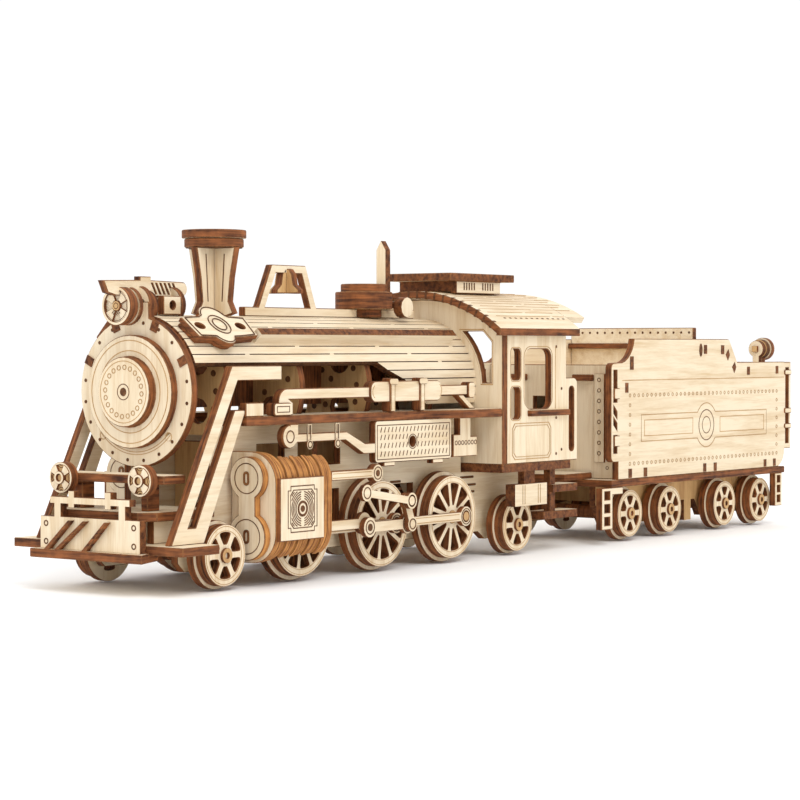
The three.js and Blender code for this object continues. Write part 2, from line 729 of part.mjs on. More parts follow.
function tenderSide(side) {
  const low = TENDER_FLOOR_Z[1];
  const outline = [
    [185.4, low],
    [278, low],
    ...arc(278, low + 5, 5, -80, 0, 6),
    [283, 22.8],
    [LENGTH, 22.8],
    [LENGTH, 49.3],
    [283, 49.3],
    [283, TENDER_WALL_TOP],
    [258, TENDER_WALL_TOP],
    [246.8, 56.2],
    [193.8, 56.2],
    ...arc(186, 57.5, 8, -10, -80, 6),
    [181.7, 49.5],
    [181.7, 22.3],
    [185.4, 22.3],
  ];
  const holes = [box2(283.6, 24.5, 285.6, 47.5), box2(183, 25, 184.6, 47.5)];
  return sideSheet(outline, holes, TENDER_IN, TENDER_OUT, side);
}

function tenderFrontWall() {
  const doorway = box2(-6, 21, 6, 40);
  return crossSheet(box2(-TENDER_IN, TENDER_FLOOR_Z[1], TENDER_IN, 49), [doorway], 187, 189);
}

function tenderRearWall() {
  const x0 = TENDER_REAR_X;
  const wall = crossSheet(box2(-TENDER_IN, TENDER_FLOOR_Z[1], TENDER_IN, 49.3), [], x0, x0 + PLY);
  const pieces = [];
  for (const side of [LEFT, RIGHT]) {
    pieces.push(sideBlock(x0, x0 + PLY, 13.8, 16.2, 48.5, 51, side));
    pieces.push(crossSheet(circle(side * 15, 53.3, 3.45, 20), [], 279, 283));
    pieces.push(crossSheet(circle(side * 15, 53.3, 2.5, 16), [], 282.5, 285));
  }
  return join(wall, ...pieces);
}

function tenderDeck() {
  return block(189, TENDER_REAR_X, -TENDER_IN, TENDER_IN, ...TENDER_DECK_Z);
}

function bunkerBoard() {
  const board = block(230, 232, -TENDER_IN, TENDER_IN, TENDER_DECK_Z[1], 59.5);
  const cover = block(231.6, 247, -TENDER_IN, TENDER_IN, 51.6, 53.6);
  return join(board, cover);
}

function bogieFrame() {
  const top = TENDER_FLOOR_Z[0];
  const outline = [
    [188, top],
    [188, 10],
    [192, HORN_Z],
    [223, HORN_Z],
    [227, 9],
    [237, 9],
    [237, 3],
    [241, 3],
    [241, 9],
    [243, 9],
    [246.5, HORN_Z],
    [277, HORN_Z],
    [280, 10],
    [280, top],
  ];
  const holes = TENDER_AXLE_X.map((x) => circle(x, TENDER_WHEEL.flange, AXLE_HOLE_R));
  const cheeks = [LEFT, RIGHT].map((side) => sideSheet(outline, holes, ...BOGIE_Y, side));
  const ties = [206.6, 234, 260.8].map((x) =>
    block(x, x + PLY, -BOGIE_Y[0] - JOIN, BOGIE_Y[0] + JOIN, 9.5, top));
  return join(...cheeks, ...ties);
}

// ---------- assembly ----------
addWheelsets();
for (const [side, word] of [[LEFT, "left"], [RIGHT, "right"]]) {
  addRods(side, word);
  addPiece(`side_frame_${word}`, sideFrame(side), SHEET_WARM);
  addPiece(`marker_lamp_${word}`, markerLamp(side), DISC_BROWN);
  addPiece(`front_strut_${word}`, frontStrut(side), SHEET_FACE);
  addPiece(`running_board_${word}`, runningBoard(side), SHEET_FACE);
  addPiece(`air_tank_${word}`, airTank(side), SHEET_FACE);
  addPiece(`cylinder_${word}`, cylinder(side), CUT_EDGE);
  addPiece(`cab_side_${word}`, cabSide(side), SHEET_FACE);
  addPiece(`tender_side_${word}`, tenderSide(side), SHEET_FACE);
}
addPiece("frame_keel", frameKeel(), SHEET_WARM);
addPiece("pilot_base", pilotBase(), SHEET_FACE);
addPiece("pilot_plate", pilotPlate(), SHEET_FACE);
addPiece("front_deck", frontDeck(), SHEET_FACE);
addPiece("lamp_board", lampBoard(), SHEET_FACE);
addPiece("smokebox_front", smokeboxFront(), SHEET_FACE);
addPiece("smokebox_door", smokeboxDoor(), SHEET_FACE);
addPiece("headlight", headlight(), SHEET_WARM);
addPiece("chimney", chimney(), SHEET_WARM);
addPiece("boiler_jacket", boilerJacket(), SHEET_FACE);
addPiece("boiler_former", boilerFormer(), SHEET_WARM);
addPiece("boiler_spine", boilerSpine(), SHEET_FACE);
addPiece("bell", bell(), DISC_BROWN);
addPiece("steam_dome", steamDome(), CUT_EDGE);
addPiece("whistle", whistle(), SHEET_FACE);
addPiece("cab_front_wall", cabFrontWall(), SHEET_FACE);
addPiece("cab_floor", cabFloor(), SHEET_WARM);
addPiece("cab_roof", cabRoof(), SHEET_FACE);
addPiece("roof_ventilator", roofVentilator(), SHEET_FACE);
addPiece("tender_floor", tenderFloor(), SHEET_WARM);
addPiece("tender_front_wall", tenderFrontWall(), SHEET_FACE);
addPiece("tender_rear_wall", tenderRearWall(), SHEET_FACE);
addPiece("tender_deck", tenderDeck(), SHEET_WARM);
addPiece("bunker_board", bunkerBoard(), SHEET_FACE);
addPiece("tender_bogie_frame", bogieFrame(), SHEET_WARM);

group.position.x = -LENGTH / 2;

export default group;
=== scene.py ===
"""Laser-cut plywood locomotive and tender: the visible pieces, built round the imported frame."""
import math

import bmesh
import bpy
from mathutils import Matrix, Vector


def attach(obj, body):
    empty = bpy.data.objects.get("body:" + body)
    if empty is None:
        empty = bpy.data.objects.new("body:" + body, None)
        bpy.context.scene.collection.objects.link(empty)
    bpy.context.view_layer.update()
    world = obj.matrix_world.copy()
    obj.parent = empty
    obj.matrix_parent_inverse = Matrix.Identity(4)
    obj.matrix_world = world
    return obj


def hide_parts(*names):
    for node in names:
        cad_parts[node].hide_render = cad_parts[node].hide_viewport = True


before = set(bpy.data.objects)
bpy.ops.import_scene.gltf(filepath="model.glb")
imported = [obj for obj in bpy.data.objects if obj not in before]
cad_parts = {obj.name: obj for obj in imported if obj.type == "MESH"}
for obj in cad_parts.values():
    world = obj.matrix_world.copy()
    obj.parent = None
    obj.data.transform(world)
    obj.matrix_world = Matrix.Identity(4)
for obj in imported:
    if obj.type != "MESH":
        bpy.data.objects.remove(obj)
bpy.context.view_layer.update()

# ---------- driving sizes, in millimetres; x is counted from the pilot's front edge ----------
MM = 0.001
LENGTH = 287.0
PLY = 2.0
CHAMFER = 0.2
SKIN = 0.06
LEFT = -1
RIGHT = 1
SIDES = ((LEFT, "left"), (RIGHT, "right"))

BOILER_Z = 43.9
JACKET_R = 17.3
JACKET_X = (18.4, 125.0)
BAY_EDGE = ((84.5, 50.4), (87, 48.8), (94.9, 45.8), (100.5, 42.6), (103.6, 40), (105, 38.4))
PLANK_DEG = 7.2
PLANK_GAP_DEG = 0.9
DRIVER_X = (50.85, 81.6, 110.8)
CRANK_R = 3.8
TENDER_WHEEL_X = (196.7, 218.6, 250.8, 272.9)
WHEEL_FACE = 19.9
RING_FACE_X = 16.4
DOOR_FACE_X = 14.4
BOSS_FACE_X = 12.4
LAMP_Z = 63.0
FRAME_FACE = 13.0
BOARD_Z = (36.2, 38.3)
BOARD_SHEET = (19.05, 21.0)
COVER_X = (32.1, 34.15)
VALVE_Z = 24.4
PISTON_Z = 11.3
CYLINDER_Y = 19.1
CYLINDER_FACE = 27.0
VALVE_ROD = (23.4, 25.4)
SIDE_ROD_FACE = 21.55
MAIN_ROD_FACE = 24.85
RETURN_CRANK_FACE = 26.3
ECCENTRIC_FACE = 27.75
TANK_FACE = 21.6
STRAP_FACE = 22.0
CHIMNEY_X = 43.2
BELL_X = 69.6
CAB_SHEET = (23.5, 25.5)
CAB_FRONT_X = 125.0
EAVE_Z = 56.8
ROOF_AXIS_Z = 24.3
ROOF_R = 44.0
TENDER_SHEET = (20.9, 22.9)
TENDER_FLOOR_Z = (15.4, 17.4)
TENDER_REAR_X = (281.0, 283.0)
FORMER_X = (30, 56, 82, 108)

# body, CAD node, x, tread radius, flange radius, spokes, spoke width
SMALL_WHEELS = (("pilot_wheels", "wheelset_pilot", 23.9), ("trailing_wheels", "wheelset_trailing", 140.2))
WHEELS = [(body, cad, x, 6.9, 7.7, 6, 1.5) for body, cad, x in SMALL_WHEELS]
WHEELS += [(f"driver_{i}", f"wheelset_driver_{i}", x, 10.36, 11.36, 11, 1.2)
           for i, x in enumerate(DRIVER_X, 1)]
WHEELS += [(f"tender_wheels_{i}", f"wheelset_tender_{i}", x, 6.6, 7.5, 6, 1.6)
           for i, x in enumerate(TENDER_WHEEL_X, 1)]

CAMERA_AT = (-381.1, -368.5, 53.9)
CAMERA_LOOK = (0.803, 0.5956)
CAMERA_DIP = 0.022
CAMERA_LENS = 108.4


def metres(x, y, z):
    """A point given in train millimetres, in the frame's metres."""
    return Vector(((x - LENGTH / 2) * MM, y * MM, z * MM))


# ---------- materials ----------
def node(tree, kind, **inputs):
    made = tree.nodes.new(kind)
    for name, value in inputs.items():
        made.inputs[name.replace("_", " ")].default_value = value
    return made


def start_material(name, scale, rough, specular):
    """A new material with its object coordinates, plain and stretched by a scale along each axis."""
    mat = bpy.data.materials.new(name)
    mat.use_nodes = True
    tree = mat.node_tree
    shader = tree.nodes["Principled BSDF"]
    shader.inputs["Roughness"].default_value = rough
    shader.inputs["Specular IOR Level"].default_value = specular
    coords = tree.nodes.new("ShaderNodeTexCoord")
    stretch = tree.nodes.new("ShaderNodeMapping")
    stretch.inputs["Scale"].default_value = scale
    tree.links.new(coords.outputs["Object"], stretch.inputs["Vector"])
    return mat, tree, coords, stretch


def weighted_sum(tree, first, weight, second):
    """Output of a node giving first times weight, plus second."""
    made = tree.nodes.new("ShaderNodeMath")
    made.operation = "MULTIPLY_ADD"
    tree.links.new(first, made.inputs[0])
    made.inputs[1].default_value = weight
    tree.links.new(second, made.inputs[2])
    return made.outputs["Value"]


def finish_material(tree, tone, stops, height, strength):
    """Colour from a tone through two stops, and fine relief from a height."""
    shader = tree.nodes["Principled BSDF"]
    ramp = tree.nodes.new("ShaderNodeValToRGB")
    for element, (position, colour) in zip(ramp.color_ramp.elements, stops):
        element.position = position
        element.color = (*colour, 1)
    tree.links.new(tone, ramp.inputs["Fac"])
    tree.links.new(ramp.outputs["Color"], shader.inputs["Base Color"])
    relief = tree.nodes.new("ShaderNodeBump")
    relief.inputs["Strength"].default_value = strength
    relief.inputs["Distance"].default_value = 0.0001
    tree.links.new(height, relief.inputs["Height"])
    tree.links.new(relief.outputs["Normal"], shader.inputs["Normal"])


def wood(name, light, dark, along):
    """Plywood face: fine fibres along one axis, soft figure and a few darker pores."""
    scale = [1.0, 1.0, 1.0]
    scale[along] = 0.07
    mat, tree, coords, stretch = start_material(name, scale, 0.62, 0.3)
    link = tree.links.new
    fibres = node(tree, "ShaderNodeTexNoise", Scale=2600.0, Detail=3.0, Roughness=0.6)
    link(stretch.outputs["Vector"], fibres.inputs["Vector"])
    figure = node(tree, "ShaderNodeTexNoise", Scale=330.0, Detail=4.0, Roughness=0.55, Distortion=0.6)
    link(stretch.outputs["Vector"], figure.inputs["Vector"])
    cloud = node(tree, "ShaderNodeTexNoise", Scale=45.0, Detail=2.0)
    link(coords.outputs["Object"], cloud.inputs["Vector"])
    both = weighted_sum(tree, fibres.outputs["Fac"], 0.45, figure.outputs["Fac"])
    total = weighted_sum(tree, cloud.outputs["Fac"], 0.35, both)
    finish_material(tree, total, ((0.62, dark), (1.05, light)), both, 0.12)
    return mat


def burnt(name, light, dark, across=None):
    """Laser-cut edge: burnt brown; with an axis across the sheet, its plies show as fine lines."""
    scale = [1.0, 1.0, 1.0] if across is None else [0.09, 0.09, 0.09]
    if across is not None:
        scale[across] = 1.5
    mat, tree, coords, stretch = start_material(name, scale, 0.7, 0.25)
    link = tree.links.new
    streak = node(tree, "ShaderNodeTexNoise", Scale=900.0, Detail=3.0, Roughness=0.65)
    link(stretch.outputs["Vector"], streak.inputs["Vector"])
    patch = node(tree, "ShaderNodeTexNoise", Scale=420.0, Detail=3.0)
    link(coords.outputs["Object"], patch.inputs["Vector"])
    total = weighted_sum(tree, patch.outputs["Fac"], 0.35, streak.outputs["Fac"])
    finish_material(tree, total, ((0.5, dark), (0.85, light)), streak.outputs["Fac"], 0.25)
    return mat


BIRCH = (0.80, 0.675, 0.49)
BIRCH_GRAIN = (0.62, 0.455, 0.265)
BURN = (0.30, 0.100, 0.030)
BURN_DARK = (0.052, 0.016, 0.006)
FACE_X = wood("ply_face_grain_along", BIRCH, BIRCH_GRAIN, 0)
FACE_Z = wood("ply_face_grain_up", BIRCH, BIRCH_GRAIN, 2)
# A darker, warmer copy of the birch face: painted shade for pieces inside, underneath or in recesses (keel,
# formers, axle bars, bogie frame, lamp discs). It is also used on the hub and crank discs and the bell.
FACE_PAINTED_SHADE = wood("ply_face_painted_shade", (0.60, 0.38, 0.17), (0.36, 0.18, 0.065), 2)
EDGE = burnt("laser_edge", (0.24, 0.084, 0.026), (0.056, 0.018, 0.007))
EDGE_ACROSS = [burnt(f"laser_edge_plies_{word}", BURN, BURN_DARK, axis)
               for axis, word in enumerate(("lengthways", "sideways", "upright"))]
STACK = burnt("stack_edge", (0.62, 0.285, 0.078), (0.20, 0.064, 0.018), 0)
SCORCH = burnt("scorched_rim", (0.27, 0.115, 0.038), (0.11, 0.040, 0.014))
MARK = burnt("engraved_line", (0.16, 0.065, 0.022), (0.065, 0.023, 0.008))
FAINT = wood("faint_engraving", (0.50, 0.30, 0.125), (0.33, 0.175, 0.065), 0)
CREAM_X = (FACE_X, EDGE, SCORCH)
CREAM_Z = (FACE_Z, EDGE, SCORCH)
# Sheet set with the darker face: painted shade, with burnt edges and scorched rims.
PAINTED_SHADE_SET = (FACE_PAINTED_SHADE, EDGE, SCORCH)
DARK = (MARK, MARK, MARK)
PALE = (FAINT, FAINT, FAINT)
PALE_TOPPED = (FAINT, MARK, MARK)


# ---------- pieces ----------
def finish_piece(mesh, name, body, nodes=()):
    mesh.name = name
    made = bpy.data.objects.new(name, mesh)
    bpy.context.collection.objects.link(made)
    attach(made, body)
    if nodes:
        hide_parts(*nodes)


def loops_to_mesh(loops, thickness, chamfer):
    """A sheet with its holes: face up along local +Z, edges lightly chamfered."""
    curve = bpy.data.curves.new("outline", "CURVE")
    curve.dimensions = "2D"
    curve.fill_mode = "BOTH"
    curve.extrude = max(thickness / 2 - chamfer, 0.00001)
    curve.bevel_depth = chamfer
    curve.bevel_resolution = 0
    curve.offset = -chamfer
    for loop in loops:
        spline = curve.splines.new("POLY")
        spline.points.add(len(loop) - 1)
        for point, (u, v) in zip(spline.points, loop):
            point.co = (u, v, 0, 1)
        spline.use_cyclic_u = True
    holder = bpy.data.objects.new("outline", curve)
    bpy.context.collection.objects.link(holder)
    made = bpy.data.meshes.new_from_object(holder.evaluated_get(bpy.context.evaluated_depsgraph_get()))
    bpy.data.objects.remove(holder)
    bpy.data.curves.remove(curve)
    return made


def tint_sheet(mesh, normal, mats):
    """Faces along the normal take the sheet's face, walls the burnt edge, chamfers the scorch."""
    mesh.materials.clear()
    for mat in mats:
        mesh.materials.append(mat)
    for poly in mesh.polygons:
        lean = abs(poly.normal.dot(normal))
        poly.material_index = 0 if lean > 0.95 else (1 if lean < 0.3 else 2)
        poly.use_smooth = False


AXES = {"XZ": ((1, 0, 0), (0, 0, 1), (0, -1, 0)),
        "YZ": ((0, 1, 0), (0, 0, 1), (1, 0, 0)),
        "XY": ((1, 0, 0), (0, 1, 0), (0, 0, 1))}


def plate(loops, plane, low, high, mats=None, chamfer=CHAMFER):
    """Mesh of one laser-cut sheet. loops are in train millimetres in the plane's two axes."""
    face, edge, rim = mats or CREAM_X
    if edge is EDGE:
        edge = EDGE_ACROSS[{"YZ": 0, "XZ": 1, "XY": 2}[plane]]
    mats = (face, edge, rim)
    mesh = loops_to_mesh([[(u * MM, v * MM) for u, v in loop] for loop in loops],
                         (high - low) * MM, chamfer * MM)
    u_axis, v_axis, normal = (Vector(a) for a in AXES[plane])
    middle = (low + high) / 2 * MM
    shift = -LENGTH / 2 * MM
    for vert in mesh.vertices:
        u, v, w = vert.co
        place = u_axis * u + v_axis * v
        if plane == "XZ":
            place += Vector((shift, middle - w, 0))
        elif plane == "YZ":
            place += Vector((shift + middle + w, 0, 0))
        else:
            place += Vector((shift, 0, middle + w))
        vert.co = place
    mesh.update()
    tint_sheet(mesh, normal, mats)
    return mesh


def arc(cx, cy, r, start, end, steps=None):
    count = steps or max(3, int(abs(end - start) / 360 * 48 + 0.5))
    turn = [math.radians(start + (end - start) * i / count) for i in range(count + 1)]
    return [(cx + r * math.cos(a), cy + r * math.sin(a)) for a in turn]


def ring(cx, cy, r, steps=32):
    return arc(cx, cy, r, 0, 360, steps)[:-1]


def rect(x0, y0, x1, y1):
    return [(x0, y0), (x1, y0), (x1, y1), (x0, y1)]


def strip(points, width):
    """Thin closed band along an open line of points, for an engraved line."""
    left, right = [], []
    for i, (x, y) in enumerate(points):
        before = points[max(i - 1, 0)]
        after = points[min(i + 1, len(points) - 1)]
        dx, dy = after[0] - before[0], after[1] - before[1]
        size = math.hypot(dx, dy) or 1
        nx, ny = -dy / size * width / 2, dx / size * width / 2
        left.append((x + nx, y + ny))
        right.append((x - nx, y - ny))
    return left + right[::-1]


def frame_line(x0, y0, x1, y1, width):
    """An engraved rectangle: an outer loop and the loop inside it."""
    return [rect(x0, y0, x1, y1), rect(x0 + width, y0 + width, x1 - width, y1 - width)]


def merge(meshes, name):
    """One mesh from several; equal materials share one slot."""
    made = bmesh.new()
    mats = []
    for mesh in meshes:
        first = len(made.faces)
        made.from_mesh(mesh)
        made.faces.ensure_lookup_table()
        remap = {}
        for i, mat in enumerate(mesh.materials):
            if mat not in mats:
                mats.append(mat)
            remap[i] = mats.index(mat)
        for face in made.faces[first:]:
            face.material_index = remap.get(face.material_index, 0)
    result = bpy.data.meshes.new(name)
    made.to_mesh(result)
    made.free()
    for mat in mats:
        result.materials.append(mat)
    for mesh in meshes:
        bpy.data.meshes.remove(mesh)
    return result


class Sheets(list):
    """The sheets of one piece, waiting to be joined."""

    def add(self, *sheet):
        self.append(plate(*sheet))


def assemble(parts, name, body, nodes=()):
    """One piece of the visual model from its separate sheets."""
    finish_piece(merge(parts, name), name, body, nodes)


def span(side, near, far):
    """Lowest and highest y of a sheet lying between two distances from the centre line."""
    return sorted((side * near, side * far))


def marks(name, loops, plane, at, side, body, proud=SKIN, mats=None):
    """Engraved lines: thin burnt strips lying on a face at the given distance."""
    low, high = (at - 0.02, at + proud) if side > 0 else (at - proud, at + 0.02)
    mesh = plate(loops, plane, low, high, mats or DARK, 0.004)
    finish_piece(mesh, name, body)


def side_marks(name, loops, out, body="engine", proud=SKIN, mats=None):
    """The same marks on both sides, on upright faces at a distance out from the centre line."""
    for side, word in SIDES:
        marks(f"{name}_{word}", loops, "XZ", side * out, side, body.format(word), proud, mats)


def edge_width(face):
    perimeter = sum(edge.calc_length() for edge in face.edges)
    return 2 * face.calc_area() / perimeter


LEVEL_SHEETS = {"cab_floor": (21.9, 24.0)}


def is_sheet_side(cad, face):
    """Whether a face is the cut side of that piece's level sheet."""
    low, high = LEVEL_SHEETS.get(cad, (1, 0))
    z = face.calc_center_median().z / MM
    return abs(face.normal.z) < 0.2 and low <= z <= high


def skin(cad, name, body, mats, axis=None, chamfer=CHAMFER):
    """The CAD node's own shape with chamfered, scorched edges and burnt sheet edges."""
    work = bmesh.new()
    work.from_mesh(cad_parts[cad].data)
    bmesh.ops.remove_doubles(work, verts=work.verts, dist=1e-6)
    bmesh.ops.dissolve_limit(work, angle_limit=math.radians(0.6), verts=work.verts, edges=work.edges)
    sharp = [e for e in work.edges if len(e.link_faces) == 2 and e.calc_face_angle(0) > math.radians(35)]
    done = bmesh.ops.bevel(work, geom=sharp, offset=chamfer * MM, segments=1, affect="EDGES",
                           clamp_overlap=True, material=2)
    rim = set(done["faces"])
    for face in work.faces:
        if face in rim:
            face.material_index = 2
        elif is_sheet_side(cad, face):
            face.material_index = 1
        elif axis == "front":
            pure = abs(face.normal.x) > 0.99 or edge_width(face) > 2.05 * MM
            face.material_index = 0 if pure else 1
        elif axis is not None:
            face.material_index = 0 if abs(face.normal.dot(axis)) > 0.9 else 1
        else:
            face.material_index = 0 if edge_width(face) > 2.05 * MM else 1
        face.smooth = False
    mesh = bpy.data.meshes.new(name)
    work.to_mesh(mesh)
    work.free()
    face_mat, edge_mat, rim_mat = mats
    if isinstance(axis, Vector) and edge_mat is EDGE:
        edge_mat = EDGE_ACROSS[max(range(3), key=lambda i: abs(axis[i]))]
    for mat in (face_mat, edge_mat, rim_mat):
        mesh.materials.append(mat)
    finish_piece(mesh, name, body, (cad,))


X_AXIS = Vector((1, 0, 0))
Y_AXIS = Vector((0, 1, 0))
Z_AXIS = Vector((0, 0, 1))


# ---------- wheels ----------
def soften(loop, reach):
    """Rounds every corner of a closed loop that turns by more than 35 degrees."""
    smooth = []
    count = len(loop)
    for i in range(count):
        before, here, after = loop[i - 1], loop[i], loop[(i + 1) % count]
        d0 = (before[0] - here[0], before[1] - here[1])
        d1 = (after[0] - here[0], after[1] - here[1])
        n0, n1 = math.hypot(*d0), math.hypot(*d1)
        cosine = (d0[0] * d1[0] + d0[1] * d1[1]) / (n0 * n1)
        if cosine < -0.82:
            smooth.append(here)
            continue
        t0, t1 = min(reach, n0 * 0.45) / n0, min(reach, n1 * 0.45) / n1
        start = (here[0] + d0[0] * t0, here[1] + d0[1] * t0)
        end = (here[0] + d1[0] * t1, here[1] + d1[1] * t1)
        middle = tuple((start[k] + end[k]) / 4 + here[k] / 2 for k in (0, 1))
        smooth += [start, middle, end]
    return smooth


def spoke_gaps(x, z, inner, outer, count, spoke, pin=None):
    """Openings between the spokes; those beside a crank pin start further out."""
    gaps = []
    step = 360 / count
    for i in range(count):
        middle = step * (i + 0.5)
        near = pin is not None and min(middle % 360, 360 - middle % 360) < 40
        base = inner + (2.6 if near else 0)
        half_in = step / 2 - math.degrees(spoke / 2 / base)
        half_out = step / 2 - math.degrees(spoke / 2 / outer)
        if half_in < 1.5:
            continue
        gap = arc(x, z, outer, middle - half_out, middle + half_out, 5)
        gap += arc(x, z, base, middle + half_in, middle - half_in, 3)
        gaps.append(soften(gap, 0.75))
    return gaps


def wheel_set(body, cad, x, tread, flange, spokes, spoke):
    """Both wheels of an axle: flange sheet, tread sheets, hub discs and the axle bar."""
    z = flange
    driving = body.startswith("driver")
    parts = Sheets()
    hub, inside, pin = (3.0, tread - 1.9, 0) if driving else (2.5, tread - 1.7, None)
    cap = (WHEEL_FACE, 20.06) if driving else (WHEEL_FACE, 20.6)
    gaps = spoke_gaps(x, z, hub, inside, spokes, spoke, pin)
    for side, _ in SIDES:
        for near, far, radius in ((15.2, 17.2, flange), (17.2, 18.55, tread), (18.55, WHEEL_FACE, tread)):
            parts.add([ring(x, z, radius, 56)] + gaps, "XZ", *span(side, near, far), CREAM_Z, 0.1)
        parts.add([ring(x, z, 1.7, 24), ring(x, z, 0.7, 12)], "XZ", *span(side, *cap), PAINTED_SHADE_SET, 0.07)
    # axle bar between the wheels in the darker face: painted shade under the engine
    parts.add([ring(x, z, 1.9, 16)], "XZ", -15.3, 15.3, PAINTED_SHADE_SET, 0.1)
    parts.add([ring(x, z, 0.65, 12)], "XZ", -19.85, 19.85, PAINTED_SHADE_SET, 0.05)
    if driving:
        reach = 25.1 if body == "driver_2" else 21.6
        for side, _ in SIDES:
            for r, near, far, rim in ((1.2, 19.6, reach, 0.08), (2.3, 19.88, 20.0, 0.04)):
                disc = [ring(x + CRANK_R, z, r, 20)]
                parts.add(disc, "XZ", *span(side, near, far), PAINTED_SHADE_SET, rim)
    assemble(parts, f"{body}_spoked", body, (cad,))


def build_wheels():
    for wheel in WHEELS:
        wheel_set(*wheel)


# ---------- rods ----------
def build_rods():
    for _, word in SIDES:
        for kind in ("side_rod", "main_rod", "eccentric_rod", "crosshead", "return_crank"):
            cad = f"{kind}_{word}"
            body = "driver_2" if kind == "return_crank" else cad
            skin(cad, cad + "_cut", body, CREAM_X, Y_AXIS, 0.1)


# ---------- boiler ----------
def planked_jacket():
    """The bent sheet: separate strips round the boiler, joined by a thin dark backing that is painted shade
    seen through the kerfs.
    """
    parts = []
    deg = -14.0

    def start_x(z):
        """Where a plank begins: at the smokebox above the open bay, and at the bay's rear edge below."""
        if z >= BAY_EDGE[0][1]:
            return JACKET_X[0]
        for (x0, z0), (x1, z1) in zip(BAY_EDGE, BAY_EDGE[1:]):
            if z1 <= z <= z0:
                return x0 + (x1 - x0) * (z0 - z) / (z0 - z1)
        return BAY_EDGE[-1][0]

    while deg < 194.0:
        a0, a1 = deg, deg + PLANK_DEG - PLANK_GAP_DEG
        heights = [BOILER_Z + JACKET_R * math.sin(math.radians(a)) for a in (a0, a1)]
        if min(heights) > 38.4:
            x_low, x_top = start_x(min(heights)), start_x(max(heights))
            parts.append(bent_strip(a0, a1, x_low, x_top, JACKET_X[1], 15.4, JACKET_R))
            if a1 + PLANK_GAP_DEG < 190:
                x = max(x_low, x_top) + 0.2
                # dark sheet under each kerf: painted shade seen through the gap between planks
                parts.append(bent_strip(a1 - 0.1, a1 + PLANK_GAP_DEG + 0.1, x, x, JACKET_X[1], 15.4,
                                        JACKET_R - 0.7, DARK))
        deg += PLANK_DEG
    parts += jacket_bridges() + shoulder_boards()
    assemble(parts, "boiler_jacket_planks", "engine", ("boiler_jacket",))


def jacket_bridges():
    """Short uncut lengths that break each kerf into dashes, staggered from row to row."""
    parts = []
    row = 0
    deg = -14.0 + PLANK_DEG - PLANK_GAP_DEG
    while deg < 186.0:
        z = BOILER_Z + JACKET_R * math.sin(math.radians(deg))
        x = 27.0 + (row * 11.7) % 31
        while x < 120:
            if z > 50.6 or x > 106:
                parts.append(bent_strip(deg - 0.3, deg + PLANK_GAP_DEG + 0.3, x, x, x + 1.6, 15.6,
                                        JACKET_R - 0.02))
            x += 31
        row += 1
        deg += PLANK_DEG
    return parts


def radial_plate(loops, r0, r1, deg, mats=None):
    """A sheet lying tangent to the boiler: loops are (x, tangential) in millimetres."""
    mesh = plate(loops, "XY", r0, r1, mats)
    turn = math.radians(deg)
    for vert in mesh.vertices:
        x, t, r = vert.co
        vert.co = (x, r * math.cos(turn) - t * math.sin(turn),
                   BOILER_Z * MM + r * math.sin(turn) + t * math.cos(turn))
    return mesh


def shoulder_boards():
    """The radial board along each shoulder of the boiler."""
    parts = []
    for deg in (42, 138):
        outline = [(41.5, -1), (118.5, -1), (118.5, 1), (41.5, 1)]
        parts.append(radial_plate([outline], JACKET_R - 0.6, JACKET_R + 3.2, deg,
                                  (EDGE, FACE_X, SCORCH)))
    return parts


def bent_strip(a0, a1, x_low, x_top, x_end, r_in, r_out, mats=CREAM_X):
    """One plank between two angles round the boiler axis."""
    work = bmesh.new()
    steps = 3
    lower_first = math.sin(math.radians(a0)) < math.sin(math.radians(a1))
    rows = []
    for i in range(steps + 1):
        t = i / steps
        a = math.radians(a0 + (a1 - a0) * t)
        share = t if lower_first else 1 - t
        x0 = x_low + (x_top - x_low) * share
        row = []
        for r, x in ((r_in, x0), (r_out, x0), (r_out, x_end), (r_in, x_end)):
            row.append(work.verts.new(metres(x, r * math.cos(a), BOILER_Z + r * math.sin(a))))
        rows.append(row)
    for low, high in zip(rows, rows[1:]):
        for k in range(4):
            face = work.faces.new((low[k], low[(k + 1) % 4], high[(k + 1) % 4], high[k]))
            face.material_index = 0 if k in (1, 3) else 1
    for row in (rows[0], rows[-1]):
        face = work.faces.new(row)
        face.material_index = 1
    bmesh.ops.recalc_face_normals(work, faces=work.faces)
    mesh = bpy.data.meshes.new("plank")
    work.to_mesh(mesh)
    work.free()
    for mat in mats:
        mesh.materials.append(mat)
    return mesh


# ---------- everything else starts as the CAD shape with cut edges ----------
# frame_keel and boiler_former take the darker face: painted shade, since they sit under and inside the
# boiler.
ENGINE_SKINS = (
    ("frame_keel", PAINTED_SHADE_SET, None), ("pilot_base", CREAM_X, Z_AXIS), ("pilot_plate", CREAM_Z, "front"),
    ("front_deck", CREAM_X, Z_AXIS), ("lamp_board", CREAM_X, Z_AXIS), ("smokebox_front", CREAM_Z, X_AXIS),
    ("smokebox_door", CREAM_Z, X_AXIS),
    ("boiler_former", PAINTED_SHADE_SET, X_AXIS), ("boiler_spine", CREAM_X, Y_AXIS),
    ("steam_dome", CREAM_X, Z_AXIS), ("whistle", CREAM_Z, None), ("cab_front_wall", CREAM_Z, X_AXIS),
    ("cab_floor", CREAM_X, None), ("roof_ventilator", CREAM_X, None),
)
SIDE_SKINS = (
    ("side_frame", CREAM_X, Y_AXIS), ("front_strut", CREAM_X, Y_AXIS),
)
# tender_bogie_frame takes the darker face: painted shade under the tender.
TENDER_SKINS = (
    ("tender_front_wall", CREAM_Z, X_AXIS),
    ("tender_deck", CREAM_X, Z_AXIS), ("bunker_board", CREAM_X, None),
    ("tender_bogie_frame", PAINTED_SHADE_SET, None),
)


